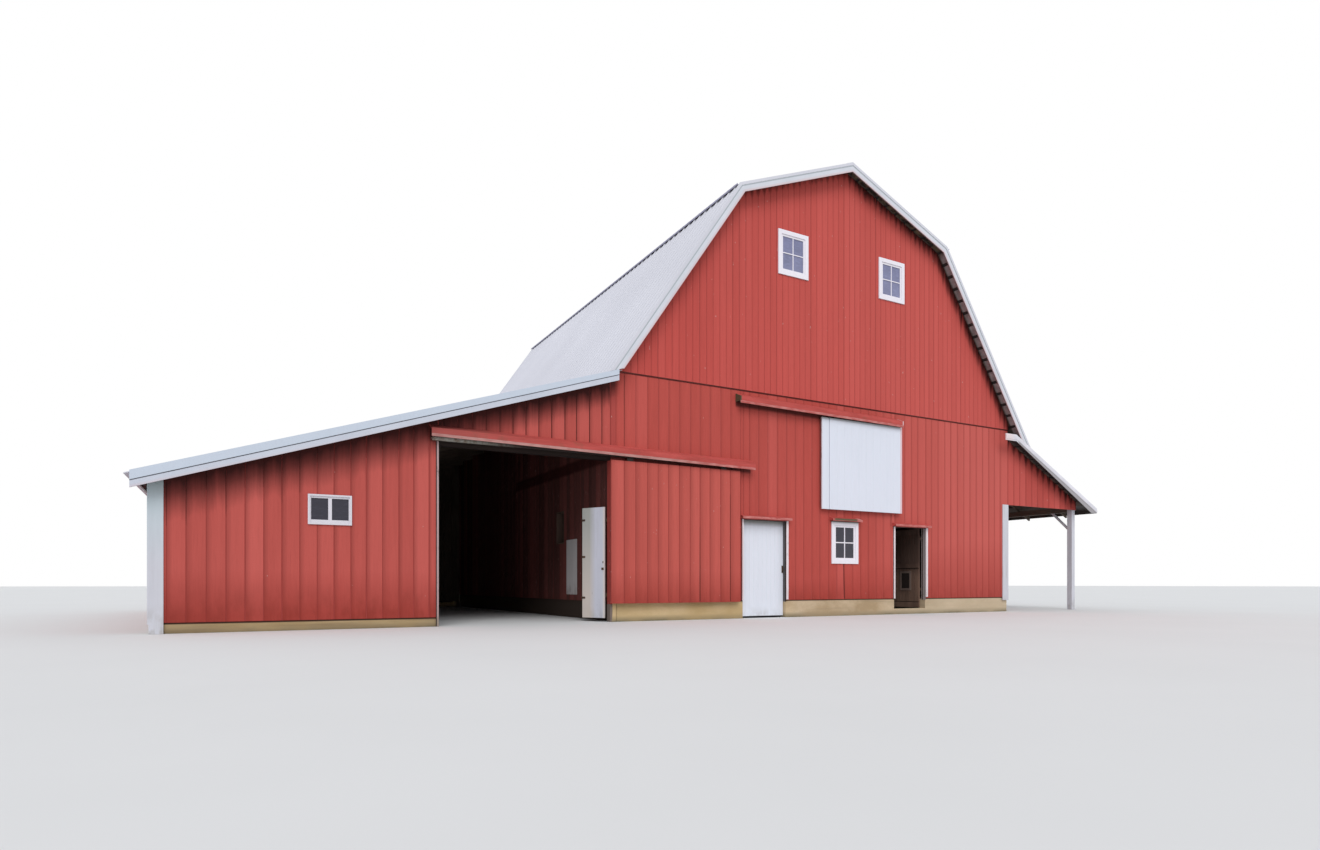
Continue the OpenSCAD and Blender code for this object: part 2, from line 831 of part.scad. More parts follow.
// The lower sheets tuck under the upper ones and end on the side roofs
module lower_roof() {
    over = 1.2 * sheet_off;
    length = (knee_z - porch_gable_z) / sin(lower_pitch);
    color(roof_white) {
        lower_sheet(length, over, porch_top_z, porch_pitch, 0);
        lower_sheet(length, over, lean_top_z, lean_pitch, 1);
    }
}

module lower_sheet(length, over, top_z, pitch, flip) {
    rise = over * sin(lower_pitch);
    translate([mid_x, 0, 0]) mirror([flip, 0, 0]) difference() {
        sheet(knee_half - over * cos(lower_pitch), knee_z + rise, lower_pitch, length);
        drawn_back(roof_y0, roof_y1) polygon([
            [0, upper_z(0, board_off)], [far, upper_z(far, board_off)], [far, apex_z], [0, apex_z]
        ]);
        drawn_back(roof_y0, roof_y1) polygon([
            [mid_x - far, top_z + roof_gap + far * tan(pitch)],
            [mid_x + far, top_z + roof_gap - far * tan(pitch)],
            [mid_x - far, top_z - far * tan(pitch)]
        ]);
    }
}

module ridge_cap() {
    color(trim_white) drawn_back(roof_y0, roof_y1) translate([mid_x, roof_gap]) polygon([
        [0, apex_z], upper_point(cap_w, 0), upper_point(cap_w, -cap_t),
        [0, apex_z + cap_t / cos(upper_pitch)],
        [-upper_point(cap_w, -cap_t).x, upper_point(cap_w, -cap_t).y],
        [-upper_point(cap_w, 0).x, upper_point(cap_w, 0).y]
    ]);
}

module lean_roof() {
    color(roof_white) mirror([1, 0, 0]) difference() {
        sheet(-rib_h, lean_top_z + rib_h * tan(lean_pitch), lean_pitch, lean_len + 2 * lean_drip);
        block([-far, -far, 0], [0, far, far]);
        block([lean_w + lean_eave + lean_drip, -far, 0], [far, far, far]);
    }
}

module porch_roof() {
    color(roof_white) difference() {
        sheet(main_w - rib_h, porch_top_z + rib_h * tan(porch_pitch), porch_pitch, porch_len + rib_h);
        block([0, -far, 0], [main_w, far, far]);
        block([porch_eave_x - roof_gap, -far, 0], [far, far, far]);
    }
}

// Trim
module main_rake(y0, y1) {
    out = knee_u(0);
    in = knee_u(rake_w);
    drawn_back(y0, y1) difference() {
        translate([mid_x, 0]) polygon([
            [-foot_u(porch_gable_z, 0), porch_gable_z], [-out, knee_z], [0, apex_z],
            [out, knee_z], [foot_u(porch_gable_z, 0), porch_gable_z],
            [foot_u(porch_gable_z, rake_w), porch_gable_z], [in, upper_z(in, rake_w)],
            [0, upper_z(0, rake_w)], [-in, upper_z(in, rake_w)],
            [-foot_u(porch_gable_z, rake_w), porch_gable_z]
        ]);
        translate([0, roof_gap]) polygon([
            [-far, lean_z(-far, 0)], [0, lean_z(0, 0)], [mid_x, lean_z(0, 0)], [mid_x, -far],
            [-far, -far]
        ]);
        translate([0, roof_gap]) polygon([
            [far, porch_z(far, 0)], [main_w - porch_rake_in, porch_z(main_w - porch_rake_in, 0)],
            [mid_x, porch_z(main_w - porch_rake_in, 0)], [mid_x, -far], [far, -far]
        ]);
    }
}

module main_rake_trim() {
    color(trim_white) {
        main_rake(roof_y0, roof_y0 + trim_t);
        main_rake(roof_y1 - trim_t, roof_y1);
    }
}

// The lean-to's rake is a board with a metal edge over a groove
lean_edge = [lean_edge_low, lean_edge_high];

// A band of that rake between two depths under the roof, each at the eave and at the top
module lean_band(y0, y1, high, low) {
    end = -lean_rake_gap;
    drawn_back(y0, y1) polygon([
        [lean_eave_x, lean_z(lean_eave_x, high[0])], [end, lean_z(end, high[1])],
        [end, lean_z(end, low[1])], [lean_eave_x, lean_z(lean_eave_x, low[0])]
    ]);
}

module lean_rake() {
    groove = [lean_groove, lean_groove];
    board = [lean_board_w, lean_board_w];
    lean_band(roof_y0 + lean_edge_t, roof_y0 + trim_t, [0, 0], lean_edge + board);
    lean_band(
        roof_y0 + lean_board_in, roof_y0 + lean_edge_t, lean_edge + groove, lean_edge + board
    );
}

module lean_trim() {
    color(trim_white) {
        lean_rake();
        at_back() lean_rake();
        drawn_back(roof_y0 + trim_t, roof_y1 - trim_t) polygon([
            [lean_eave_x, lean_z(lean_eave_x, board_off)],
            [lean_eave_x + trim_t, lean_z(lean_eave_x + trim_t, board_off)],
            [lean_eave_x + trim_t, lean_z(lean_eave_x, board_off) - lean_eave_board],
            [lean_eave_x, lean_z(lean_eave_x, board_off) - lean_eave_board]
        ]);
    }
}

module lean_edges() {
    color(roof_white) {
        lean_band(roof_y0, roof_y0 + lean_edge_t, [0, 0], lean_edge);
        at_back() lean_band(roof_y0, roof_y0 + lean_edge_t, [0, 0], lean_edge);
    }
}

// The porch's rake runs up past the main barn's corner and ends in a level cap
module porch_rake(y0, y1) {
    start = main_w - porch_rake_in;
    high = porch_rake_high / cos(porch_pitch);
    low = porch_rake_low / cos(porch_pitch);
    end = porch_eave_x + trim_t;
    drawn_back(y0, y1) difference() {
        polygon([
            [start - porch_cap, porch_z(start, 0)], [start, porch_z(start, 0)],
            [end, porch_z(end, 0)], [end, porch_z(end, 0) - low],
            [start, porch_z(start, 0) - high], [start - porch_cap, porch_z(start, 0) - high]
        ]);
        square([far, porch_z(end, 0) - porch_heel]);
    }
}

module porch_trim() {
    end = porch_eave_x + trim_t;
    foot = porch_z(end, 0) - porch_heel;
    color(trim_white) {
        porch_rake(roof_y0, roof_y0 + trim_t);
        porch_rake(roof_y1 - trim_t, roof_y1);
        drawn_back(roof_y0 + trim_t, roof_y1 - trim_t) polygon([
            [porch_eave_x, porch_z(porch_eave_x, 0)], [end, porch_z(end, 0)],
            [end, foot], [porch_eave_x, foot]
        ]);
    }
}

module corner_boards() {
    right = -lean_w + lean_corner_w;
    color(trim_white) for (y = [-trim_t, main_d]) {
        drawn_back(y, y + trim_t) polygon([
            [-lean_w, 0], [-lean_w, lean_z(-lean_w, seat_off)],
            [right, lean_z(right, seat_off)], [right, 0]
        ]);
        block([main_w - main_corner_w, y, main_corner_z], [main_w, y + trim_t, porch_gable_z]);
    }
}

// Tracks, hangers and hoods
// A square track with a slot along its underside, on brackets from the wall
module track(x0, x1, leaf_top) {
    z = leaf_top + track_up;
    half = track_s / 2;
    brackets = 5;
    difference() {
        block([x0, leaf_mid_y - half, z], [x1, leaf_mid_y + half, z + track_s]);
        block(
            [x0 + track_steel, leaf_mid_y - half + track_steel, z + track_steel],
            [x1 - track_steel, leaf_mid_y + half - track_steel, z + track_s - track_steel]
        );
        block(
            [x0 + track_steel, leaf_mid_y - track_slot / 2, z - 1],
            [x1 - track_steel, leaf_mid_y + track_slot / 2, z + track_steel + 1]
        );
    }
    for (i = [0 : brackets - 1]) {
        x = x0 + (x1 - x0 - track_s) * i / (brackets - 1);
        block([x, leaf_mid_y + half, z + half], [x + track_s, 0, z + track_s]);
    }
}

big_track = [-big_left - track_past, leaf_w - leaf_rest + track_right];
loft_track = [loft_door_x - loft_track_left, loft_door_x + loft_door_w - loft_track_short];

module door_tracks() {
    color(bare_steel) {
        track(big_track[0], big_track[1], leaf_z1);
        track(loft_track[0], loft_track[1], loft_door_z1);
    }
}

// A hanger with two pairs of wheels in the track, its foot on the leaf's top edge
module hanger(x, leaf_top) {
    wheel_z = leaf_top + track_up + track_steel + wheel_gap + wheel_r;
    side = plate_t / 2 + 1;
    block(
        [x, leaf_mid_y - leaf_t / 2, leaf_top],
        [x + hanger_w, leaf_mid_y + leaf_t / 2, leaf_top + plate_t]
    );
    block(
        [x, leaf_mid_y - plate_t / 2, leaf_top],
        [x + hanger_w, leaf_mid_y + plate_t / 2, wheel_z + wheel_r / 2]
    );
    for (at = [1, 3]) translate([x + hanger_w * at / 4, leaf_mid_y, wheel_z]) rotate([90, 0, 0]) {
        cylinder(h = 2 * (side + wheel_w), r = wheel_r / 3, center = true, $fn = 32);
        for (way = [-1, 1]) translate([0, 0, way * (side + wheel_w / 2)])
            cylinder(h = wheel_w, r = wheel_r, center = true, $fn = 48);
    }
}

module door_hangers() {
    color(bare_steel) for (x = [hanger_in, leaf_w - hanger_in - hanger_w])
        hanger(-leaf_rest + x, leaf_z1);
}

// The line of a hood: left end, right end, height at the left and fall to the right
big_hood = [
    big_track[0] - hood_past, big_track[1] + hood_past, leaf_z1 + big_hood_up, big_hood_sag
];
loft_hood = [
    loft_track[0] - hood_past, loft_track[1] + hood_past, loft_door_z1 + loft_hood_up, loft_hood_sag
];

function hood_length(hood) = norm([hood[1] - hood[0], hood[3]]);

module along_hood(hood) {
    translate([hood[0], 0, hood[2]]) rotate([0, atan(hood[3] / (hood[1] - hood[0])), 0]) children();
}

// A sloping board against the wall with an upright board along its front
module track_hood(hood) {
    under = hood_t + hood_t * hood_fall / track_hood_out;
    along_hood(hood) drawn_right(0, hood_length(hood)) polygon([
        [0, hood_lip + hood_fall], [-track_hood_out, hood_lip], [-track_hood_out, 0],
        [-track_hood_out + hood_t, 0], [-track_hood_out + hood_t, hood_lip - hood_t],
        [0, hood_lip + hood_fall - under]
    ]);
}

module hood_end(hood, x) {
    along_hood(hood) drawn_right(x, x + hood_t) polygon([
        [0, hood_lip + hood_fall], [-track_hood_out, hood_lip],
        [-track_hood_out, hood_edge], [0, hood_edge]
    ]);
}

module track_hoods() {
    color(barn_red) {
        track_hood(big_hood);
        track_hood(loft_hood);
        hood_end(loft_hood, 0);
        hood_end(loft_hood, hood_length(loft_hood) - hood_t);
    }
}

// A small sloping hood on brackets, from x0 to x1, with its lowest line at z
module small_hood(x0, x1, z, brackets) {
    top = z + hood_t + small_hood_fall;
    drawn_right(x0, x1) polygon([
        [0, top], [-small_hood_out, top - small_hood_fall],
        [-small_hood_out, top - small_hood_fall - hood_t], [0, top - hood_t]
    ]);
    for (x = brackets) drawn_right(x, x + hood_t) polygon([
        [0, top - hood_t], [-small_hood_out, z],
        [-small_hood_out * bracket_part, z - hood_t], [0, z - hood_t]
    ]);
}

small_hood_z = door_head + small_hood_up;
window_hood_z = main_win_z + main_win_h / 2 + small_hood_up;
window_hood = [
    main_win_x - main_win_w / 2 - window_hood_past,
    main_win_x + main_win_w / 2 + window_hood_past - window_hood_end
];
small_hood_lines = [
    [white_x - small_hood_past, white_x + white_w + small_hood_past],
    [dark_x - small_hood_past, dark_x + dark_w + small_hood_past]
];

module at_broken_end() {
    translate([window_hood[1], 0, window_hood_z]) rotate([0, window_hood_tilt, 0]) children();
}

module small_hoods() {
    color(barn_red) {
        for (line = small_hood_lines)
            small_hood(line[0], line[1], small_hood_z, [line[0], line[1] - hood_t]);
        small_hood(window_hood[0], window_hood[1], window_hood_z, [window_hood[0]]);
        at_broken_end() small_hood(break_gap, window_hood_end, 0, [window_hood_end - hood_t]);
    }
}

// Metal edges along the fronts of the hoods
module small_edge(x0, x1, z) {
    block(
        [x0, -small_hood_out - hood_edge_t, z + hood_t - hood_edge],
        [x1, -small_hood_out, z + hood_t]
    );
}

module hood_edges() {
    front = -track_hood_out;
    color(roof_white) {
        for (hood = [big_hood, loft_hood])
            along_hood(hood) block([0, front - hood_edge_t, 0], [hood_length(hood), front, hood_edge]);
        for (line = small_hood_lines) small_edge(line[0], line[1], small_hood_z);
        small_edge(window_hood[0], window_hood[1], window_hood_z);
        at_broken_end() small_edge(break_gap, window_hood_end, 0);
    }
}

module door_trim() {
    color(trim_white) {
        for (x = [white_x + white_w, dark_x - door_trim_w, dark_x + dark_w])
            block([x, -trim_t, found_z], [x + door_trim_w, 0, door_head]);
        block([white_x - door_trim_w / 2, -trim_t, found_z], [white_x, 0, door_head]);
        block([-big_left - door_trim_w / 2, -trim_t, 0], [-big_left, 0, big_z + track_up]);
    }
}

// Windows
// Widths of the casing, the frame and the sash around the glass
wide_edge = [casing_w, frame_t, sash_w];
thin_edge = [lean_casing_w, lean_frame_t, lean_sash_w];

module window_hole(x, z, w, h, edge) {
    block(
        [x - w / 2 + edge[0], -1, z - h / 2 + edge[0]],
        [x + w / 2 - edge[0], wall_t + gable_lap + 1, z + h / 2 - edge[0]]
    );
}

module ring(w, h, inset_a, inset_b, y0, y1) {
    drawn_back(y0, y1) difference() {
        square([w - 2 * inset_a, h - 2 * inset_a], center = true);
        square([w - 2 * inset_b, h - 2 * inset_b], center = true);
    }
}

// Casing on the wall's face, frame through the wall and a sash in it
module window_frame(x, y, z, w, h, depth, edge) {
    frame = edge[0] + edge[1];
    translate([x, y, z]) {
        ring(w, h, 0, frame, -trim_t, 0);
        ring(w, h, edge[0], frame, 0, depth);
        ring(w, h, frame, frame + edge[2], sash_in - trim_t, sash_in - trim_t + sash_t);
    }
}

module window_pane(x, y, z, w, h, edge) {
    in = edge[0] + edge[1] + edge[2];
    mid = sash_in - trim_t + sash_t / 2;
    translate([x - w / 2 + in, y + mid - glass_t / 2, z - h / 2 + in])
        cube([w - 2 * in, glass_t, h - 2 * in]);
}

module at_back() {
    translate([0, main_d, 0]) mirror([0, 1, 0]) children();
}

module window_frames() {
    color(trim_white) {
        front_frames();
        at_back() front_frames();
    }
}

module inner_window_frame() {
    color(old_wood) translate([0, inner_win_y, inner_win_z]) rotate([0, 0, -90])
        ring(inner_win_w, inner_win_h, 0, frame_t, 0, wall_t);
}

module front_frames() {
    window_frame(main_win_x, 0, main_win_z, main_win_w, main_win_h, wall_t, wide_edge);
    window_frame(-lean_win_x, 0, lean_win_z, lean_win_w, lean_win_h, wall_t, thin_edge);
    for (side = [-1, 1]) window_frame(
        mid_x + side * gable_win_out, -gable_lap, gable_win_z,
        gable_win_w, gable_win_h, wall_t + gable_lap, wide_edge
    );
}

module front_panes() {
    window_pane(main_win_x, 0, main_win_z, main_win_w, main_win_h, wide_edge);
    window_pane(-lean_win_x, 0, lean_win_z, lean_win_w, lean_win_h, thin_edge);
    for (side = [-1, 1]) window_pane(
        mid_x + side * gable_win_out, -gable_lap, gable_win_z, gable_win_w, gable_win_h, wide_edge
    );
}

module window_glass() {
    color([0.3, 0.34, 0.38]) {
        front_panes();
        at_back() front_panes();
    }
}

module wall_hatch() {
    color(trim_white) block(
        [0, hatch_y - hatch_w / 2, hatch_z0], [wall_t / 4, hatch_y + hatch_w / 2, hatch_z1]
    );
}

// Doors
module loft_door() {
    color(trim_white) block(
        [loft_door_x, -leaf_gap - leaf_t, loft_door_z0],
        [loft_door_x + loft_door_w, -leaf_gap, loft_door_z1]
    );
}

module loft_hangers() {
    color(bare_steel) for (x = [hanger_in, loft_door_w - hanger_in - hanger_w])
        hanger(loft_door_x + x, loft_door_z1);
}

module sliding_door() {
    color(barn_red) block(
        [-leaf_rest, -leaf_gap - leaf_t, leaf_z0], [leaf_w - leaf_rest, -leaf_gap, leaf_z1]
    );
}

eye_r = pin_r + pin_gap + strap_t;
// Distance of a leaf's inner face from its pin
leaf_back = eye_r + 2;

// A leaf that hangs on a pin at its right, closed at 0 degrees and opening inwards
module hinged_leaf(leaf) {
    translate([leaf[0], pin_y, 0]) rotate([0, 0, -leaf[4]]) block(
        [-leaf[1], -leaf_back - door_t, leaf[2]], [-door_gap, -leaf_back, leaf[3]]
    );
}

// Pin, width, lower edge, upper edge and rest angle of each leaf that hangs on pins
white_leaf = [white_x + white_w, white_w - door_gap, white_z0, door_head - door_gap, 0];
dark_leaf = [
    dark_x + dark_w, dark_w - door_gap, dark_sill + 2 * door_gap, door_head - door_gap, dark_open
];
narrow_leaf = [-big_right, side_leaf_w, side_leaf_z0, side_leaf_z1, side_leaf_open];

module white_door() {
    color(trim_white) hinged_leaf(white_leaf);
}

module dark_door() {
    color(old_wood) hinged_leaf(dark_leaf);
}

module side_leaf() {
    color(trim_white) hinged_leaf(narrow_leaf);
}

function strap_heights(leaf) = [leaf[2] + strap_low, leaf[3] - strap_high];

// Straps on a leaf's inner face, each with an eye that turns on its pin
module straps(leaf) {
    for (z = strap_heights(leaf))
        translate([leaf[0], pin_y, z]) rotate([0, 0, -leaf[4]]) difference() {
            union() {
                block(
                    [-leaf[1] * strap_part, -leaf_back, -strap_h / 2],
                    [0, strap_t - leaf_back, strap_h / 2]
                );
                cylinder(h = strap_h, r = eye_r, center = true, $fn = 48);
            }
            cylinder(h = strap_h + 2, r = pin_r + pin_gap, center = true, $fn = 48);
        }
}

module white_door_straps() {
    color(bare_steel) straps(white_leaf);
}

module dark_door_straps() {
    color(bare_steel) straps(dark_leaf);
}

module side_leaf_straps() {
    color(bare_steel) straps(narrow_leaf);
}

// A pintle: a plate on the wall's inner face, an arm under the strap's eye and the pin
module pintle(x, z) {
    arm_top = -strap_h / 2 - pin_gap;
    arm_low = arm_top - 2 * strap_t;
    plate_x = eye_r + door_gap;
    translate([x, pin_y, z]) {
        block([-pin_r, -pin_r, arm_low], [plate_x, pin_r, arm_top]);
        block([plate_x, -pin_in, arm_low], [plate_x + strap_h, pin_r, arm_top]);
        block([plate_x, -pin_in, arm_low], [plate_x + strap_h, strap_t - pin_in, strap_h / 2]);
        translate([0, 0, arm_low])
            cylinder(h = strap_h + 4 * strap_t, r = pin_r, $fn = 48);
    }
}

module hinge_pintles() {
    color(bare_steel) for (leaf = [white_leaf, dark_leaf, narrow_leaf])
        for (z = strap_heights(leaf)) pintle(leaf[0], z);
}

translate([-centre_x, -centre_y, 0]) {
    main_foundation();
    lean_foundation();
    front_wall_left();
    front_wall_middle();
    front_wall_right();
    front_wall_upper();
    front_gable();
    back_wall();
    back_gable();
    side_walls();
    lean_front_wall();
    lean_front_header();
    lean_side_wall();
    lean_back_wall();
    porch_gables();
    porch_posts();
    porch_beam();
    porch_braces();
    loft_floor();
    loft_joists();
    loft_girders();
    loft_posts();
    main_rafters();
    side_rafters();
    main_roof_boards();
    side_roof_boards();
    upper_roof();
    lower_roof();
    ridge_cap();
    lean_roof();
    porch_roof();
    main_rake_trim();
    lean_trim();
    lean_edges();
    porch_trim();
    corner_boards();
    door_tracks();
    track_hoods();
    small_hoods();
    hood_edges();
    door_trim();
    window_frames();
    inner_window_frame();
    window_glass();
    wall_hatch();
    loft_door();
    loft_hangers();
    sliding_door();
    door_hangers();
    white_door();
    dark_door();
    side_leaf();
    hinge_pintles();
    white_door_straps();
    dark_door_straps();
    side_leaf_straps();
}
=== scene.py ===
"""Looks of the gambrel barn: siding, doors, window bars, edges, materials, light and camera."""

import math
import random

import bmesh
import bpy
from mathutils import Matrix, Vector


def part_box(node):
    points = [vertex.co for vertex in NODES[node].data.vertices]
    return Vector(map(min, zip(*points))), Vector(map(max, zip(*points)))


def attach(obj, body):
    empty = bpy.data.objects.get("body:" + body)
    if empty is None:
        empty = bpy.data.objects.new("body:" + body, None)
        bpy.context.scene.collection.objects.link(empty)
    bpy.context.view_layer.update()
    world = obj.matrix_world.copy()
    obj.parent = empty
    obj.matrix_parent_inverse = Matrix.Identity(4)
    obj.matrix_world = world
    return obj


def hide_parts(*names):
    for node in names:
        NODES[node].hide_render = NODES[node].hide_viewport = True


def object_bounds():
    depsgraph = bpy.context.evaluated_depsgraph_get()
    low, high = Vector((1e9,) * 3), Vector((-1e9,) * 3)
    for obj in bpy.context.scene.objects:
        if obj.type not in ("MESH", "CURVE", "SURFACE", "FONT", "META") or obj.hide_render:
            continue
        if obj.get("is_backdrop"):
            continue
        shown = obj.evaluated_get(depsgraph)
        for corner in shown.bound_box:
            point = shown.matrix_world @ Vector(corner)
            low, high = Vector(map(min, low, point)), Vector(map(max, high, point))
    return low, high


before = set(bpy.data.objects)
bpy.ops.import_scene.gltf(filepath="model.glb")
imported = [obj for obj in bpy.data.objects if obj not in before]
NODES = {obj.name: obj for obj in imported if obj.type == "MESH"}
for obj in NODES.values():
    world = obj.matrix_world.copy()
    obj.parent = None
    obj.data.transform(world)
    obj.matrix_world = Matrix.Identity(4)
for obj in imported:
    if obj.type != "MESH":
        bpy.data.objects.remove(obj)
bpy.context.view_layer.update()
scene = bpy.context.scene
rng = random.Random(7)

# Places are in metres, x from the main barn's left wall face, y from its front wall face
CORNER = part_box("front_wall_left")[0]
X0, Y0 = CORNER[0], CORNER[1]
MAIN_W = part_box("front_wall_right")[1][0] - X0
MAIN_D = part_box("back_wall")[1][1] - Y0
WALL = 0.14
FOUND = CORNER[2]
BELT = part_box("front_wall_upper")[1][2]
GABLE_LAP = 0.025
ROOF_OFF = 0.052
APEX, KNEE_Z, KNEE_IN, LOWER = 10.275, 9.03, 2.7, math.radians(55.4)
RAKE_OVER, TRIM = 0.31, 0.025
MID = MAIN_W / 2
KNEE = MID - KNEE_IN
UPPER = math.atan((APEX - KNEE_Z) / KNEE)
LEAN_W, LEAN_TOP, LEAN_PITCH, LEAN_END = 7.5, 4.81, math.radians(17.85), -7.775
LEAN_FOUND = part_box("lean_front_wall")[0][2]
PORCH_W, PORCH_TOP, PORCH_PITCH, PORCH_LOW = 3.01, 4.63, math.radians(26.5), 2.84
SIDE_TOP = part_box("side_walls")[1][2]
WHITE_X, WHITE_W, DARK_X, DARK_W, HEAD = 2.99, 1.15, 7.43, 1.06, 2.106
BIG_L, BIG_R, BIG_Z = -3.37, -0.12, 3.11
RIBS = [-0.183 + 0.229 * i for i in range(55)]
LEAF_W = 0.56
# Lower edges of the track hoods: left end, right end, height at the left and fall per metre
HOODS = [(-3.52, 3.18, 3.222, 0.0134), (2.795, 7.53, 4.517, 0.0106)]
# Thickness of the boards, depth of the grooves in the siding and the red layer behind them
BOARD, GROOVE, RED_LAYER = 0.022, 0.006, 0.014
# Gap round a closed door, and how far the narrow leaf stands open, in degrees
CLEAR, LEAF_ANGLE = 0.008, 62.6
# Colours that several materials share
FADED, SHADOW, MOSS = (0.66, 0.155, 0.135), (0.05, 0.012, 0.011), (0.11, 0.085, 0.045)


# ---- materials
MAT = {}


def feed(tree, socket, value):
    """Links an input to another node's output, or sets it to a value."""
    if isinstance(value, bpy.types.NodeSocket):
        tree.links.new(value, socket)
    else:
        socket.default_value = value


def add_node(tree, kind, inputs=None, **settings):
    """The outputs of a new node."""
    node = tree.nodes.new(kind)
    for key, value in settings.items():
        setattr(node, key, value)
    for key, value in (inputs or {}).items():
        feed(tree, node.inputs[key], value)
    return node.outputs


class Shader:
    """A Principled material that is put together from noise in the object's own coordinates."""

    def __init__(self, name, roughness, specular, metallic=0):
        self.mat = MAT[name] = bpy.data.materials.new(name)
        self.mat.use_nodes = True
        self.tree = self.mat.node_tree
        self.set("Roughness", roughness)
        self.set("Metallic", metallic)
        self.set("Specular IOR Level", specular)
        self.coord = self.add("ShaderNodeTexCoord")["Object"]
        self.x, self.y, self.z = self.add("ShaderNodeSeparateXYZ", {0: self.coord})
        self.colour = None

    def set(self, socket, value):
        feed(self.tree, self.tree.nodes["Principled BSDF"].inputs[socket], value)

    def add(self, kind, inputs=None, **settings):
        return add_node(self.tree, kind, inputs, **settings)

    def noise(self, scale, detail=4.0, rough=0.6):
        place = self.add("ShaderNodeMapping", {"Vector": self.coord, "Scale": scale})[0]
        return self.add("ShaderNodeTexNoise", {
            "Vector": place, "Scale": 1, "Detail": detail, "Roughness": rough})[0]

    def tone(self, name="tone"):
        return self.add("ShaderNodeAttribute", attribute_name=name)["Fac"]

    def span(self, value, low, high, new_low=0, new_high=1):
        return self.add("ShaderNodeMapRange", {
            "Value": value, "From Min": low, "From Max": high,
            "To Min": new_low, "To Max": new_high})[0]

    def soft(self, noise, low=0, high=1):
        """A noise, its middle values spread over a range."""
        return self.span(noise, 0.3, 0.7, low, high)

    def across(self, low, high, *to):
        """A span in x, measured from the main barn's left wall face."""
        return self.span(self.x, X0 + low, X0 + high, *to)

    def math(self, how, a, b=0):
        return self.add("ShaderNodeMath", {0: a, 1: b}, operation=how)[0]

    def plus(self, a, b):
        return self.math("ADD", a, b)

    def minus(self, a, b):
        return self.math("SUBTRACT", a, b)

    def times(self, product, *factors):
        for factor in factors:
            product = self.math("MULTIPLY", product, factor)
        return product

    def between(self, value, low, high, soft=0.02):
        """1 between two values, 0 outside."""
        return self.times(self.span(value, low - soft, low + soft),
                          self.span(value, high - soft, high + soft, 1, 0))

    def facing(self):
        """The direction of a face: its x, y and z."""
        normal = self.add("ShaderNodeNewGeometry")["Normal"]
        return self.add("ShaderNodeSeparateXYZ", {0: normal})

    def underneath(self, strength=1):
        """The strength on faces that look down, 0 on others."""
        return self.span(self.facing()[2], -0.25, -0.6, 0, strength)

    def slope(self, out, top, pitch):
        """Depth under a slope that starts at a height and falls as out grows."""
        fall = self.plus(self.times(out, math.sin(pitch)), self.times(self.z, math.cos(pitch)))
        return self.minus(top * math.cos(pitch), fall)

    def under_roof(self, roof):
        """Depth under the outer face of one of the three roofs."""
        if roof == "lean":
            return self.slope(self.minus(X0, self.x), LEAN_TOP, LEAN_PITCH)
        if roof == "porch":
            return self.slope(self.minus(self.x, X0 + MAIN_W), PORCH_TOP, PORCH_PITCH)
        out = self.math("ABSOLUTE", self.minus(self.x, X0 + MID))
        return self.math("MINIMUM", self.slope(out, APEX, UPPER),
                         self.slope(out, KNEE_Z + KNEE * math.tan(LOWER), LOWER))

    def under_hoods(self):
        """1 in the dark strips of wall behind and under the track hoods."""
        total = 0
        for x0, x1, z, fall in HOODS:
            line = self.plus(self.z, self.times(self.x, fall))
            at = z + fall * (X0 + x0)
            strip = self.times(self.between(self.x, X0 + x0, X0 + x1),
                               self.between(line, at - 0.045, at + 0.2, 0.03))
            total = self.math("MAXIMUM", total, strip)
        return self.times(total, self.in_front())

    def in_front(self):
        """1 on the front half of the barn."""
        return self.math("LESS_THAN", self.y)

    def olive_head(self):
        """1 at the mossy lower edge of the hood over the main window."""
        return self.times(self.between(self.x, X0 + 5.44, X0 + 6.12),
                          self.span(self.z, 2.226, 2.216), self.span(self.z, 2.17, 2.18))

    def mix(self, factor, a, b):
        """Two colours mixed; each is a tuple or a node's output."""
        a, b = ((*c, 1) if isinstance(c, tuple) else c for c in (a, b))
        return self.add("ShaderNodeMix", {0: factor, 6: a, 7: b}, data_type="RGBA")[2]

    def tint(self, factor, colour):
        """Mixes a colour into what there is."""
        self.colour = self.mix(factor, self.colour, colour)

    def finish(self, height=None, strength=0, distance=0):
        """Sets the colour, and the bump where the surface has one."""
        self.set("Base Color", self.colour)
        if height is not None:
            self.set("Normal", self.add("ShaderNodeBump", {
                "Height": height, "Strength": strength, "Distance": distance})[0])


def stretched(across, along, run="z"):
    """Noise scales that are fine across the grain and coarse along it."""
    return tuple(along if axis == run else across for axis in "xyz")


def scaled(colour, by):
    return tuple(by * c for c in colour)


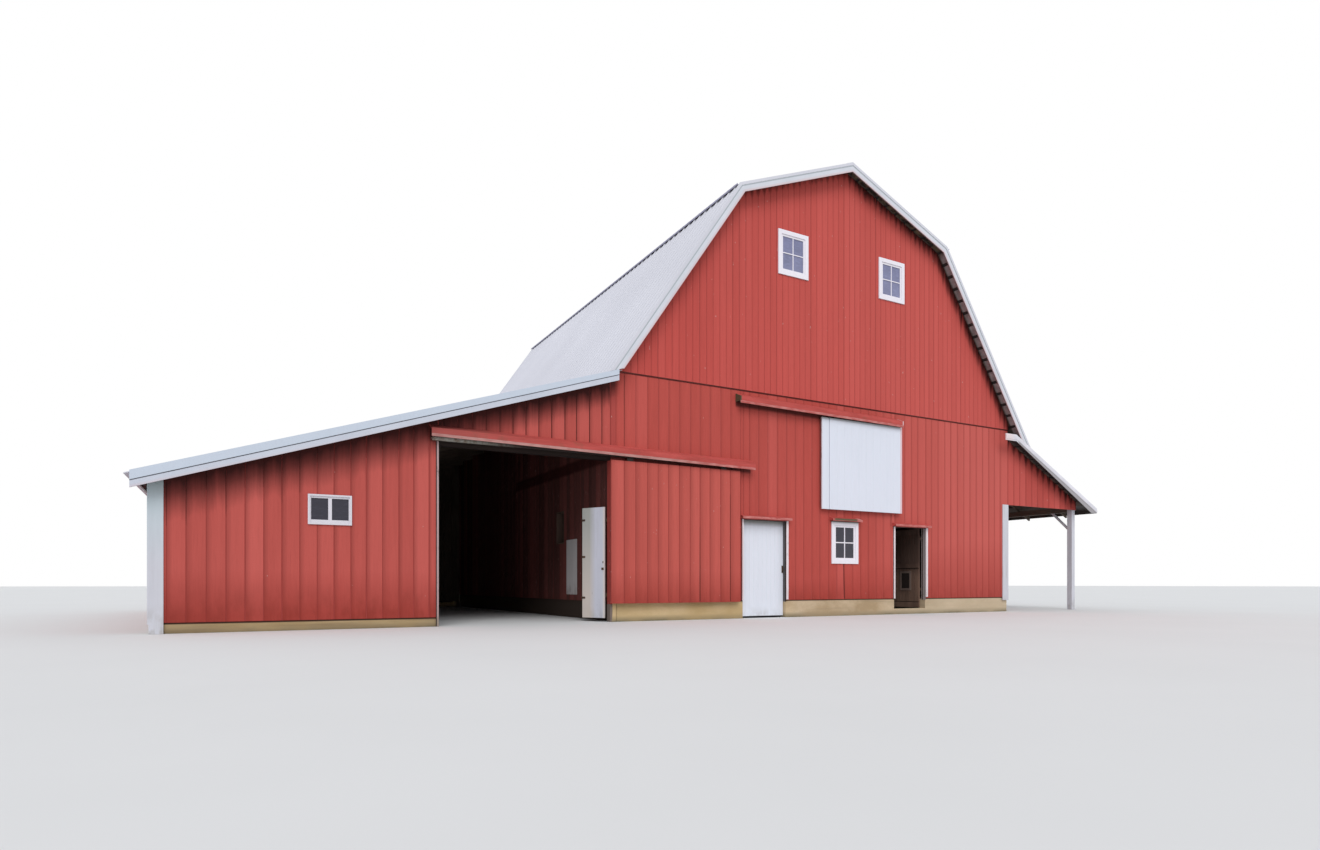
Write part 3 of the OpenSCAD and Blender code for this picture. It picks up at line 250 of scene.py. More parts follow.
def barn_paint(name, light, dark, grime=(0.2, 0.045, 0.035), low=0.25, worn=0, roof=None,
               reach=(0.012, 0.222), fade=0.22, pale=None, band=0.25, depth=0.4, teeth=0,
               foot=None):
    """Red siding: each board has its own tone, a darker left side and shade under the roof.

    The foot is darker up to a height at the left, and another at the right of the main front.
    """
    s = Shader(name, 0.66, 0.14)
    streak = s.noise(stretched(9, 0.55), 5, 0.62)
    patch = s.noise((0.45, 0.45, 0.3), 3, 0.55)
    grain = s.noise(stretched(70, 2.4), 5)
    level = s.plus(s.times(s.tone(), 0.4), s.soft(streak, 0, 0.32))
    s.colour = s.mix(s.plus(level, s.soft(patch, 0, 0.28)), dark, light)
    s.tint(s.span(grain, 0.5, 0.74, 0, 0.28), scaled(dark, 0.68))
    s.tint(s.span(s.tone(), 0.5, 1, 0, fade), FADED)
    if pale:
        left, right, strength = pale
        s.tint(s.across(left, right, 0, strength), FADED)
    if band:
        side = s.times(s.span(s.tone("shade"), 1 - band, 0.98, 0, depth),
                       s.span(streak, 0.35, 0.65, 0.5, 1))
        s.tint(side, scaled(dark, 0.5))
    spots = s.noise(stretched(6, 2.5), 5)
    s.tint(s.times(s.span(s.z, low, low + 0.5, 1, 0), s.span(spots, 0.4, 0.7, 0, 0.6)), grime)
    s.tint(s.span(s.noise((26, 26, 9), 3, 0.5), 0.742 - worn, 0.765 - worn), (0.55, 0.36, 0.33))
    if foot:
        top = s.across(5, 10, *foot)
        s.tint(s.span(s.z, 0.25, top, 0.52, 0), (0.25, 0.018, 0.009))
    if roof:
        ragged = s.plus(s.under_roof(roof), s.soft(streak, -0.07, 0.07))
        saw = s.math("ABSOLUTE", s.minus(s.tone("shade"), 0.5))
        ragged = s.minus(ragged, s.span(saw, 0.1, 0.5, -teeth, teeth))
        if roof == "main":
            ragged = s.plus(ragged, s.across(MID, MID + 0.4, 0, -0.085))
        if roof == "lean":
            steep = s.across(-3.2, -0.5, 1, 1.6)
            ragged = s.plus(s.times(s.minus(ragged, reach[0]), steep), reach[0])
        s.tint(s.span(ragged, *reach, 0.96, 0), SHADOW)
    if name in ("main_red", "post_red"):
        under = s.under_roof("lean")
        shade = s.times(s.span(under, 0.1, 0.14), s.span(under, 0.22, 0.46, 0.85, 0),
                        s.across(-0.03, 0.09, 1, 0))
        s.tint(shade, SHADOW)
    s.tint(s.times(s.under_hoods(), 0.85), (0.06, 0.014, 0.012))
    s.set("Roughness", s.soft(patch, 0.6, 0.76))
    s.tint(s.underneath(0.75), (0.06, 0.03, 0.024))
    s.finish(grain, 0.35, 0.0015)


def hood_paint():
    """Barn paint on the hoods, with the pale broken end over the main window."""
    s = Shader("hood_red", 0.7, 0.14)
    streak = s.noise((1.1, 9, 9), 5, 0.62)
    patch = s.noise((2.2, 2.2, 2.2))
    s.colour = s.mix(s.soft(streak), (0.4, 0.066, 0.056), (0.57, 0.1, 0.088))
    s.tint(s.span(patch, 0.58, 0.72, 0, 0.5), (0.16, 0.1, 0.06))
    broken = s.times(s.between(s.x, X0 + 6.157, X0 + 6.4, 0.004), s.span(s.z, 2.4, 2.5, 1, 0))
    s.tint(broken, (0.6, 0.33, 0.3))
    s.tint(s.olive_head(), MOSS)
    s.tint(s.across(-1.5, -3.6, 0, 0.45), (0.21, 0.085, 0.075))
    high = s.span(s.z, 4.3, 4.4)
    s.tint(s.times(high, s.across(2.83, 2.815)), (0.1, 0.085, 0.05))
    s.tint(s.times(high, s.across(7.5, 7.515)), (0.72, 0.56, 0.58))
    s.tint(s.underneath(0.85), (0.045, 0.032, 0.022))
    s.finish(streak, 0.3, 0.002)


def metal_edge():
    """The worn metal edges of the hoods: pale pink with rust and bare spots."""
    s = Shader("hood_edge", 0.5, 0.3)
    wear = s.noise((5, 20, 20), 5, 0.65)
    bare = s.mix(s.span(wear, 0.35, 0.65), (0.37, 0.155, 0.14), (0.52, 0.27, 0.245))
    pink = s.mix(s.span(wear, 0.38, 0.7), (0.44, 0.085, 0.075), (0.62, 0.25, 0.23))
    s.colour = s.mix(s.times(s.between(s.z, 2.9, 3.6), s.across(2.5, 1)), pink, bare)
    s.tint(s.span(s.noise((2, 8, 8)), 0.6, 0.7, 0, 0.8), (0.34, 0.09, 0.07))
    s.tint(s.olive_head(), MOSS)
    s.tint(s.underneath(), (0.05, 0.04, 0.035))
    s.finish(wear, 0.2, 0.001)


def white_paint(name, light, dark, dirt=0.35, bare=0, low=-1, mud=(0.27, 0.23, 0.17), heads=()):
    """White paint; heads have grime at their tops: left, right, low, high and its strength."""
    s = Shader(name, 0.5, 0.35)
    streak = s.noise(stretched(11, 0.7), 5, 0.62)
    patch = s.noise((0.8, 0.8, 0.6), 3, 0.55)
    grain = s.noise(stretched(75, 2.6), 5)
    level = s.plus(s.soft(streak, 0, 0.4), s.soft(patch, 0, 0.35))
    s.colour = s.mix(s.plus(level, s.times(s.tone(), 0.25)), dark, light)
    soot = s.times(s.span(streak, 0.5, 0.75), s.span(patch, 0.45, 0.65, 0.2, 1), dirt)
    s.tint(soot, (0.3, 0.28, 0.26))
    spots = s.noise((7, 7, 4), 5)
    s.tint(s.times(s.span(s.z, low, low + 0.45, 1, 0), s.span(spots, 0.4, 0.7, 0, 0.85)), mud)
    relief = (grain, 0.25, 0.001)
    if bare:
        peel = s.span(s.noise(stretched(16, 4.5), 6, 0.65), 0.62 - bare, 0.66 - bare)
        s.tint(peel, s.mix(grain, (0.09, 0.075, 0.065), (0.27, 0.23, 0.21)))
        relief = (s.minus(grain, s.times(peel, 0.8)), 0.5, 0.002)
    for x0, x1, z0, z1, strength in heads:
        grime = s.times(s.between(s.x, X0 + x0, X0 + x1), s.span(s.z, z0, z1, 0, strength),
                        s.in_front(), s.span(s.z, z1 + 0.3, z1 + 0.25))
        s.tint(grime, (0.1, 0.1, 0.06))
    if name == "post_white":
        moss = s.times(s.between(s.x, X0 - 7.6, X0 - 7.2), s.span(s.z, 1, 1.9, 0, 0.4))
        s.tint(moss, (0.42, 0.6, 0.62))
    if name == "casing_white":
        s.tint(s.across(-3, -4, 0, 0.35), (0.42, 0.41, 0.45))
    if name == "leaf_white":
        warm = s.mix(s.span(s.z, 0.5, 1.9), (0.7, 0.6, 0.51), (0.43, 0.43, 0.37))
        s.tint(s.across(-0.28, -0.35, 0, 0.8), warm)
        s.tint(s.across(-0.205, -0.187, 0, 0.7), (0.8, 0.72, 0.66))
    s.set("Roughness", s.soft(patch, 0.42, 0.6))
    s.tint(s.underneath(0.5), (0.16, 0.15, 0.15))
    s.finish(*relief)


def rake_paint(name, roof, dark, light, line, pink):
    """White rake boards: a grey line between two depths under the roof and a pink lower edge."""
    s = Shader(name, 0.5, 0.35)
    patch = s.noise((1.5, 1.5, 1.5))
    s.colour = s.mix(s.soft(patch), dark, light)
    depth = s.under_roof(roof)
    s.tint(s.between(depth, *line, 0.003), (0.43, 0.47, 0.5))
    s.tint(s.span(depth, *pink, 0, 0.7), (0.68, 0.48, 0.49))
    s.tint(s.underneath(), (0.22, 0.19, 0.19))
    s.finish(patch, 0.1, 0.002)


def porch_rake_paint():
    """White on the porch's rounded edge, over a grey board; its inner sides are dark."""
    s = Shader("porch_rake", 0.5, 0.3)
    patch = s.noise((2.5, 2.5, 2.5))
    s.colour = s.mix(s.soft(patch), (0.66, 0.65, 0.7), (0.8, 0.78, 0.84))
    depth = s.under_roof("porch")
    grey = s.times(s.span(depth, 0.1, 0.125, 0, 0.75), s.across(MAIN_W - 0.02, MAIN_W + 0.06))
    s.tint(grey, (0.24, 0.22, 0.22))
    s.tint(s.across(MAIN_W - 0.1, MAIN_W - 0.3, 0, 0.7), (0.82, 0.66, 0.66))
    side, _, up = s.facing()
    inner = s.times(s.span(side, -0.7, -0.9), s.across(MAIN_W, MAIN_W + 1))
    inner = s.math("MAXIMUM", inner, s.span(up, -0.7, -0.85))
    s.tint(inner, (0.045, 0.04, 0.035))
    s.finish(patch, 0.1, 0.002)


def soffit(name, light):
    """Roof boards: grey under the lower slopes' overhang, dark above the knee, brown inside."""
    s = Shader(name, 0.85, 0.15)
    grain = s.noise((60, 1.6, 60), 6, 0.65)
    blotch = s.noise((6, 6, 6), 3, 0.5)
    out = s.math("ABSOLUTE", s.y)
    brown = s.mix(grain, (0.045, 0.034, 0.028), (0.15, 0.12, 0.1))
    grey = s.mix(s.soft(blotch), scaled((0.52, 0.46, 0.45), light), scaled((1, 0.93, 0.93), light))
    olive = s.mix(s.span(blotch, 0.4, 0.6), (0.03, 0.025, 0.02), (0.13, 0.11, 0.07))
    grey = s.mix(s.span(s.z, KNEE_Z - 0.2, KNEE_Z - 0.05), grey, olive)
    s.colour = s.mix(s.span(out, -Y0 + 0.03, -Y0 + 0.07), brown, grey)
    s.finish(grain, 0.5, 0.002)


def steel_track():
    """The door tracks: a light line at the big track's left end, dark to the right."""
    s = Shader("track_steel", 0.5, 0.3, 0.3)
    rust = s.noise((14, 14, 14), 5, 0.65)
    light = s.mix(s.span(rust, 0.4, 0.66), (0.36, 0.35, 0.31), (0.17, 0.12, 0.09))
    dark = s.mix(s.span(rust, 0.4, 0.66), (0.035, 0.03, 0.028), (0.06, 0.035, 0.028))
    fade = s.math("MAXIMUM", s.across(-2.9, -1.9), s.span(s.z, 3.6, 3.7))
    s.colour = s.mix(fade, light, dark)
    s.finish(rust, 0.25, 0.0008)


def timber(name, light=(0.17, 0.13, 0.1), dark=(0.045, 0.033, 0.026), run="z", foot=None):
    s = Shader(name, 0.82, 0.2)
    grain = s.noise(stretched(60, 1.6, run), 6, 0.65)
    stain = s.noise(stretched(3.5, 0.8, run), 4, 0.55)
    level = s.plus(s.times(grain, 0.5), s.soft(stain, 0, 0.5))
    s.colour = s.mix(level, dark, light)
    s.tint(s.times(s.tone(), 0.35), scaled(dark, 0.5))
    if foot:
        s.tint(s.times(s.span(s.z, 1.2, 0.9), level), foot)
    s.finish(grain, 0.5, 0.003)


def roof_sheet():
    """White metal sheets, dark on their underside."""
    s = Shader("roof_metal", 0.44, 0.4)
    patch = s.noise((0.4, 0.4, 0.4), 3, 0.5)
    streak = s.noise((1.2, 9, 1.2), 4, 0.55)
    s.colour = s.mix(s.soft(patch), (0.62, 0.62, 0.68), (0.67, 0.67, 0.73))
    s.tint(s.times(s.span(streak, 0.54, 0.8), 0.1), (0.42, 0.42, 0.44))
    down = s.times(s.span(s.facing()[2], -0.48, -0.55), s.across(-7.7, -7.69))
    s.set("Roughness", s.soft(patch, 0.4, 0.5))
    s.tint(down, (0.05, 0.042, 0.04))
    s.finish()


def concrete_wall():
    s = Shader("concrete", 0.9, 0.15)
    blotch = s.noise((1.3, 1.3, 2.2), 5)
    sand = s.noise((90, 90, 90), 4, 0.7)
    pour = s.noise((0.7, 0.7, 11), 4, 0.55)
    s.colour = s.mix(s.span(blotch, 0.34, 0.66), (0.44, 0.32, 0.19), (0.64, 0.5, 0.34))
    s.tint(s.span(pour, 0.5, 0.75, 0, 0.5), (0.33, 0.25, 0.17))
    s.tint(s.span(sand, 0.45, 0.75, 0, 0.35), (0.25, 0.2, 0.15))
    s.tint(s.across(7, 9, 0, 0.55), (0.61, 0.51, 0.37))
    s.tint(s.across(4.5, 3.5, 0, 0.4), (0.66, 0.46, 0.18))
    damp = s.times(s.span(s.z, 0, 0.12, 1, 0), s.span(blotch, 0.3, 0.6, 0.3, 1))
    s.tint(damp, (0.19, 0.16, 0.1))
    lean = s.across(-0.2, -0.3)
    s.tint(s.times(lean, s.soft(pour, 0.25, 0.75)), (0.22, 0.155, 0.09))
    edge = s.plus(s.times(lean, s.span(s.z, LEAN_FOUND - 0.034, LEAN_FOUND - 0.02)),
                  s.span(s.z, FOUND - 0.03, FOUND - 0.016))
    s.tint(edge, (0.07, 0.035, 0.025))
    within = s.times(s.across(0.6, 1, 1, 0), s.across(-0.2, -0.1),
                     s.between(s.y, Y0 + 0.045, Y0 + MAIN_D - 0.045, 0.015))
    s.tint(within, (0.07, 0.05, 0.04))
    s.finish(s.plus(s.times(sand, 0.4), blotch), 0.7, 0.012)


def spotted(name, clean, spot, metallic, roughness, scale, start):
    """Metal with spots of rust or grime."""
    s = Shader(name, roughness, 0.3, metallic)
    rust = s.noise((scale, scale, scale), 5, 0.65)
    s.colour = s.mix(s.span(rust, start, start + 0.26), clean, spot)
    s.finish(rust, 0.25, 0.0008)


def glazing(name, top, foot, z0, z1):
    """Old panes that give back a pale or a dark sky."""
    s = Shader(name, 0.12, 0.3)
    ripple = s.noise((2.5, 2.5, 3.5), 3, 0.5)
    s.colour = s.mix(s.span(s.z, z0, z1), foot, top)
    s.tint(s.span(ripple, 0.35, 0.7, 0, 0.5), scaled(foot, 0.6))
    s.tint(s.across(-3, -4, 0, 0.3), (0.02, 0.02, 0.032))
    s.tint(s.span(s.noise((9, 9, 24)), 0.5, 0.7, 0, 0.4), scaled(top, 1.5))
    s.finish(ripple, 0.06, 0.004)


barn_paint("barn_red", (0.585, 0.113, 0.094), (0.44, 0.079, 0.065), roof="lean",
           reach=(0.25, 0.81), depth=0.6, band=0.3, teeth=0.02, foot=(0.95, 0.95))
barn_paint("main_red", (0.56, 0.096, 0.079), (0.42, 0.067, 0.053), pale=(6, 10, 0.4),
           foot=(0.85, 1.9))
barn_paint("gable_red", (0.59, 0.092, 0.077), (0.46, 0.069, 0.057), low=-2, roof="main",
           pale=(1, 8, 0.2), fade=0.12, depth=0.2, teeth=0.05)
barn_paint("porch_red", (0.56, 0.092, 0.077), (0.42, 0.067, 0.055), low=-2, roof="porch",
           reach=(0.05, 0.26), teeth=0.1)
barn_paint("leaf_red", (0.6, 0.12, 0.096), (0.45, 0.081, 0.065), low=0.2, band=0.5, depth=0.5,
           foot=(1, 1))
barn_paint("old_red", (0.19, 0.075, 0.066), (0.1, 0.036, 0.032), worn=0.03, band=0)
barn_paint("post_red", (0.5, 0.085, 0.072), (0.34, 0.055, 0.046), low=0.1,
           grime=(0.09, 0.05, 0.03), worn=0.04)
hood_paint()
metal_edge()
barn_paint("gap_red", (0.42, 0.068, 0.058), (0.28, 0.044, 0.038), low=-2, band=0)
barn_paint("seam_red", (0.14, 0.026, 0.023), (0.08, 0.015, 0.013), low=-2, band=0)
timber("open_joint", (0.07, 0.016, 0.014), (0.035, 0.009, 0.008))
timber("post_foot", (0.3, 0.235, 0.2), (0.15, 0.115, 0.1))
timber("dark_joint", (0.022, 0.01, 0.009), (0.012, 0.006, 0.005))
timber("rake_shadow", (0.16, 0.165, 0.19), (0.1, 0.105, 0.12), "x")
timber("rib_gap", (0.3, 0.3, 0.345), (0.21, 0.21, 0.245), "x")
white_paint("casing_white", (0.93, 0.89, 0.95), (0.82, 0.79, 0.85), dirt=0.2,
            heads=[(5.3, 6.4, 2.12, 2.15, 0.8)])
rake_paint("rake_white", "main", (0.6, 0.62, 0.67), (0.7, 0.71, 0.77), (0.062, 0.085),
           (0.14, 0.19))
rake_paint("lean_rake", "lean", (0.53, 0.56, 0.64), (0.6, 0.63, 0.71), (0, 0.01), (0.19, 0.27))
white_paint("lean_edge", (0.6, 0.66, 0.755), (0.55, 0.61, 0.7), dirt=0.1)
porch_rake_paint()
soffit("roof_boards", 0.42)
soffit("side_boards", 0.05)
white_paint("trim_white", (0.88, 0.8, 0.82), (0.7, 0.6, 0.62), dirt=0.5, bare=-0.03, low=0.2)
white_paint("weathered_jamb", (0.55, 0.4, 0.4), (0.32, 0.21, 0.21), dirt=0.8, bare=0.02, low=0.1)
white_paint("pale_jamb", (0.46, 0.4, 0.4), (0.3, 0.26, 0.26), dirt=0.6, low=0.3)
white_paint("door_white", (0.82, 0.85, 0.93), (0.72, 0.75, 0.82), low=-0.2, dirt=0.15,
            heads=[(2.9, 4.2, 1.97, 2.07, 0.75)])
white_paint("loft_white", (0.78, 0.81, 0.9), (0.7, 0.73, 0.81), dirt=0.12,
            heads=[(5, 7.6, 4.42, 4.48, 0.7)])
white_paint("pink_white", (0.84, 0.62, 0.66), (0.72, 0.48, 0.52), dirt=0.3)
white_paint("post_white", (0.74, 0.75, 0.81), (0.55, 0.55, 0.6), dirt=0.7, low=0,
            heads=[(-7.6, -7.2, 1.95, 2.25, 0.5)])
white_paint("leaf_white", (0.76, 0.76, 0.87), (0.6, 0.61, 0.69), dirt=0.5, bare=-0.045, low=-0.1)
white_paint("worn_white", (0.66, 0.65, 0.67), (0.54, 0.53, 0.55), dirt=0.6, bare=0.015, low=0)
white_paint("hatch_white", (0.86, 0.82, 0.82), (0.72, 0.68, 0.68), dirt=0.5, low=0.35,
            mud=(0.12, 0.06, 0.05))
timber("timber_x", run="x")
timber("timber_y", run="y")
timber("timber_z")
timber("grey_jamb", (0.3, 0.22, 0.2), (0.13, 0.095, 0.09))
timber("brown_frame", (0.2, 0.135, 0.1), (0.09, 0.055, 0.045))
timber("dark_frame", (0.075, 0.05, 0.04), (0.03, 0.02, 0.017))
timber("dark_planks", (0.17, 0.105, 0.08), (0.05, 0.03, 0.025), foot=(0.26, 0.16, 0.115))
timber("hatch_frame", (0.27, 0.2, 0.17), (0.12, 0.085, 0.07))
timber("hatch_hole", (0.04, 0.028, 0.025), (0.02, 0.014, 0.012))
timber("lintel", (0.035, 0.022, 0.018), (0.015, 0.01, 0.009), "x")
timber("reveal", (0.2, 0.2, 0.21), (0.1, 0.1, 0.105))
spotted("lilac_edge", (0.44, 0.42, 0.56), (0.34, 0.33, 0.46), 0, 0.5, 6, 0.4)
roof_sheet()
concrete_wall()
spotted("iron", (0.055, 0.05, 0.048), (0.16, 0.075, 0.035), 0.35, 0.6, 24, 0.4)
steel_track()
glazing("gable_glass", (0.21, 0.22, 0.36), (0.24, 0.25, 0.39), 7.6, 8.3)
glazing("low_glass", (0.045, 0.043, 0.06), (0.06, 0.058, 0.075), 1.3, 2.1)


# ---- places and heights
def face_y(y, way=1):
    """Places on a face across the barn: u from the left, z up and d in from the face."""
    return lambda u, z, d: (X0 + u, Y0 + y + way * d, z)


def face_x(x, way=1):
    """Places on a face along the barn: u from the front."""
    return lambda u, z, d: (X0 + x + way * d, Y0 + u, z)


front, front_lap = face_y(0), face_y(-GABLE_LAP)
back, back_lap = face_y(MAIN_D, -1), face_y(MAIN_D + GABLE_LAP, -1)


def slope(top, pitch, start=0):
    """Heights of a slope that falls from its top, at u and at a depth t under its face."""
    return lambda u, t=ROOF_OFF: top - (u - start) * math.tan(pitch) - t / math.cos(pitch)


# The main roof's slopes have u from the middle, those of the side roofs from the left
upper_z, lower_z = slope(APEX, UPPER), slope(KNEE_Z, LOWER, KNEE)
lean_z, porch_z = slope(LEAN_TOP, -LEAN_PITCH), slope(PORCH_TOP, PORCH_PITCH, MAIN_W)


def gable_z(u):
    return min(upper_z(abs(u - MID)), lower_z(abs(u - MID)))


def knee_u(t):
    """How far from the middle the upper and lower slopes meet."""
    return KNEE - t * (1 / math.cos(LOWER) - 1 / math.cos(UPPER)) / (
        math.tan(LOWER) - math.tan(UPPER))


def foot_u(top, pitch, t):
    """How far from the middle the lower slope comes down on a side roof."""
    return MID + (lower_z(MID, t) - top) / (math.tan(LOWER) - math.tan(pitch))


def height(z, u):
    """A height that is a number, or a function of u."""
    return z(u) if callable(z) else z


# ---- mesh building
def link(name, data):
    """A new object in the scene."""
    obj = bpy.data.objects.new(name, data)
    scene.collection.objects.link(obj)
    return obj


class Build:
    """Closed solids that become one mesh, each with its material and a tone of its own."""

    def __init__(self):
        self.verts, self.shades, self.mats = [], [], []
        self.faces, self.slots, self.tones = [], [], []

    def rings(self, rings, mat, tone=0.5, shades=None):
        """A solid through rings of points, each ring in the same order."""
        first, count = len(self.verts), len(rings[0])
        for ring in rings:
            self.verts.extend(ring)
            self.shades.extend(shades or [0.0] * count)
        last = len(self.verts) - count
        faces = [(a + i, a + (i + 1) % count, a + count + (i + 1) % count, a + count + i)
                 for a in range(first, last, count) for i in range(count)]
        faces.append(tuple(range(first + count - 1, first - 1, -1)))
        faces.append(tuple(range(last, last + count)))
        if mat not in self.mats:
            self.mats.append(mat)
        self.faces.extend(faces)
        self.slots.extend([self.mats.index(mat)] * len(faces))
        self.tones.extend([tone] * len(faces))

    def box(self, low, high, mat, tone=0.5, place=front):
        """A box between two corners, each given as u, d and z."""
        (u0, d0, z0), (u1, d1, z1) = low, high
        self.rings([[place(u, z, d) for u, d in ((u0, d0), (u1, d0), (u1, d1), (u0, d1))]
                    for z in (z0, z1)], mat, tone)

    def plate(self, outline, d0, d1, mat, tone=0.5):
        """An outline in u and z on the front, drawn from d0 to d1."""
        self.rings([[front(u, z, d) for u, z in outline] for d in (d0, d1)], mat, tone)

    def object(self, name, slot, replaces=(), body="barn"):
        mesh = bpy.data.meshes.new(name)
        mesh.from_pydata(self.verts, [], self.faces)
        for mat in self.mats:
            mesh.materials.append(MAT[mat])
        mesh.polygons.foreach_set("material_index", self.slots)
        for kind, domain, values in (
                ("tone", "FACE", self.tones), ("shade", "POINT", self.shades)):
            mesh.attributes.new(kind, "FLOAT", domain).data.foreach_set("value", values)
        bm = bmesh.new()
        bm.from_mesh(mesh)
        bmesh.ops.recalc_face_normals(bm, faces=bm.faces)
        bm.to_mesh(mesh)
        bm.free()
        obj = link(name, mesh)
        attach(obj, body)
        if replaces:
            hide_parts(*replaces)


def boards(build, place, joints, lo, hi, mat, depth=0, thick=BOARD, gap=0.012, ease=0.004,
           holes=(), breaks=(), wave=0.0025, spread=1):
    """Upright boards from joint to joint, from height lo to hi, notched round the holes."""
    for a, b in zip(joints, joints[1:]):
        tone = 0.5 + (rng.random() - 0.5) * spread
        face = depth + rng.random() * wave
        left, right = a + gap * rng.uniform(0.15, 0.7), b - gap * rng.uniform(0.15, 0.7)
        if right - left < 0.01:
            continue
        inner = [u for h in holes for u in h[:2]] + list(breaks)
        cuts = sorted({left, right, *(u for u in inner if left < u < right)})
        for u0, u1 in zip(cuts, cuts[1:]):
            if u1 - u0 < 0.001:
                continue
            mid = (u0 + u1) / 2
            ends = [lo]
            for h in sorted((h for h in holes if h[0] < mid < h[1]), key=lambda h: h[2]):
                ends += h[2:]
            ends.append(hi)
            e0, e1 = ease * (u0 == left), ease * (u1 == right)
            # An edge that isn't eased gives the same point twice, which the dict keeps once
            outline = dict.fromkeys((
                (u0, face + e0), (u0 + e0, face), (u1 - e1, face), (u1, face + e1),
                (u1, depth + thick), (u0, depth + thick)))
            shades = [(right - u) / (right - left) for u, _ in outline]
            for z0, z1 in zip(ends[::2], ends[1::2]):
                if height(z1, mid) - height(z0, mid) >= 0.01:
                    build.rings([[place(u, height(z, u), d) for u, d in outline]
                                 for z in (z0, z1)], mat, tone, shades)


def slab(build, place, u0, u1, lo, hi, mat, depth, thick, **cuts):
    """One plain board."""
    boards(build, place, [u0, u1], lo, hi, mat, depth, thick, gap=0, ease=0, wave=0, **cuts)


def spaced(a, b, pitch, jitter=0):
    count = max(1, round((b - a) / pitch))
    inner = [a + (b - a) * i / count + rng.uniform(-jitter, jitter) for i in range(1, count)]
    return [a, *inner, b]


def core(build, place, u0, u1, lo, hi, groove, thick, lining, **cuts):
    """Behind a wall's outer boards: a red layer, a solid core and the inner face's boards."""
    slab(build, place, u0, u1, lo, hi, "gap_red", groove, RED_LAYER, **cuts)
    slab(build, place, u0, u1, lo, hi, "grey_jamb", groove + RED_LAYER,
         thick - groove - RED_LAYER - BOARD, **cuts)
    boards(build, lambda u, z, d: place(u, z, thick - d), spaced(u0, u1, lining), lo, hi,
           "timber_z", gap=0.008, **cuts)


def wall(build, place, joints, lo, hi, mat, gap=0.014, holes=()):
    """A whole wall, with its boards on the outer face."""
    boards(build, place, joints, lo, hi, mat, thick=GROOVE, gap=gap, holes=holes)
    core(build, place, joints[0], joints[-1], lo, hi, GROOVE, WALL, 0.25, holes=holes)


def cracks(build, place, lines):
    """Open joints: dark strips in the grooves, from z0 to z1, with half a width at each end."""
    near, far = 0.0035, 0.0075
    for u, z0, z1, low, high in lines:
        build.rings([[place(u + a * half, z, d) for a, d in ((-1, near), (1, near), (1, far),
                     (-1, far))] for z, half in ((z0, low), (z1, high))], "open_joint")


# Windows: middle, size and the widths of the casing, the frame and the sash
WIDE, THIN = (0.062, 0.03, 0.042), (0.016, 0.012, 0.019)
MAIN_WIN = (5.835, 1.676, 0.81, 0.967, WIDE)
GABLE_WINS = [(MID + side * 1.49, 7.972, 0.835, 0.977, WIDE) for side in (-1, 1)]
LEAN_WIN = (-5.08, 1.916, 0.65, 0.48, THIN)


def opening(x, z, w, h, edge):
    """A window's hole: left, right, foot and head."""
    return (x - w / 2 + edge[0], x + w / 2 - edge[0], z - h / 2 + edge[0], z + h / 2 - edge[0])


# ---- siding
LEAN_JOINTS = [
    -7.5, -7.287, -7.04, -6.785, -6.529, -6.276, -6.023, -5.77, -5.518, -5.268, -5.02, -4.768,
    -4.53, -4.281, -4.02, -3.78, -3.526, BIG_L, -3.279, -3.034, -2.777, -2.541, -2.292, -2.049,
    -1.805, -1.563, -1.311, -1.051, -0.818, -0.553, -0.297, BIG_R, 0,
]
MAIN_JOINTS = [
    0, 0.18, 0.429, 0.69, 0.929, 1.17, 1.421, 1.676, 1.914, 2.155, 2.42, 2.67, 2.92, WHITE_X,
    3.145, 3.385, 3.63, 3.89, WHITE_X + WHITE_W, 4.39, 4.62, 4.857, 5.09, 5.345, 5.59, 5.816,
    6.067, 6.32, 6.565, 6.81, 7.045, 7.31, DARK_X, 7.757, 7.985, 8.2, DARK_X + DARK_W, 8.68,
    8.923, 9.162, 9.381, 9.626, 9.869, 10.104, 10.346, 10.583, 10.83, 11.057, 11.286, 11.6,
]
PANEL_JOINTS = [0, 0.911, 1.885, 2.873, 3.856, 4.816, 5.791, 6.778, 7.76, 8.742, 9.724, 10.706,
                11.6]
# The joints in LEAN_JOINTS at the big doorway's left and right
JOINT_L, JOINT_R = LEAN_JOINTS.index(BIG_L), LEAN_JOINTS.index(BIG_R)
# Pitch of the boards on the walls that the photo doesn't show, and how much it varies
PITCH, JITTER = 0.245, 0.006
# The lower siding ends a little under the gable's lower edge, over a dark strip
BELT_FOOT = BELT - 0.03

b = Build()
for joints, low, mat in (
        (LEAN_JOINTS[:JOINT_L + 1], LEAN_FOUND, "barn_red"),
        (LEAN_JOINTS[JOINT_L:JOINT_R + 1], BIG_Z, "barn_red"),
        (LEAN_JOINTS[JOINT_R:], 0, "post_red")):
    wall(b, front, joints, low, lean_z, mat, holes=[opening(*LEAN_WIN)])
cracks(b, front, [(u, lean_z(u) - rng.uniform(0.3, 0.9), lean_z(u) - 0.02, 0.001, 0.005)
                  for u in LEAN_JOINTS[1:JOINT_L]])
cracks(b, front, [(u, BIG_Z, lean_z(u) - 0.02, 0.004, 0.006)
                  for u in LEAN_JOINTS[JOINT_L + 1:JOINT_R]])
# A dark strip over the big doorway, the post's dark foot and its red side
b.box((BIG_L, -0.004, BIG_Z - 0.003), (BIG_R, WALL - 0.001, BIG_Z + 0.1), "lintel")
b.box((BIG_R - 0.004, -0.004, 0), (0, WALL - 0.001, 0.34), "post_foot")
b.box((BIG_R - 0.002, -0.002, 0.02), (BIG_R, WALL - 0.002, BIG_Z), "post_red", 0.3)
b.object("siding_lean_front", "red_siding", ["lean_front_wall", "lean_front_header"])

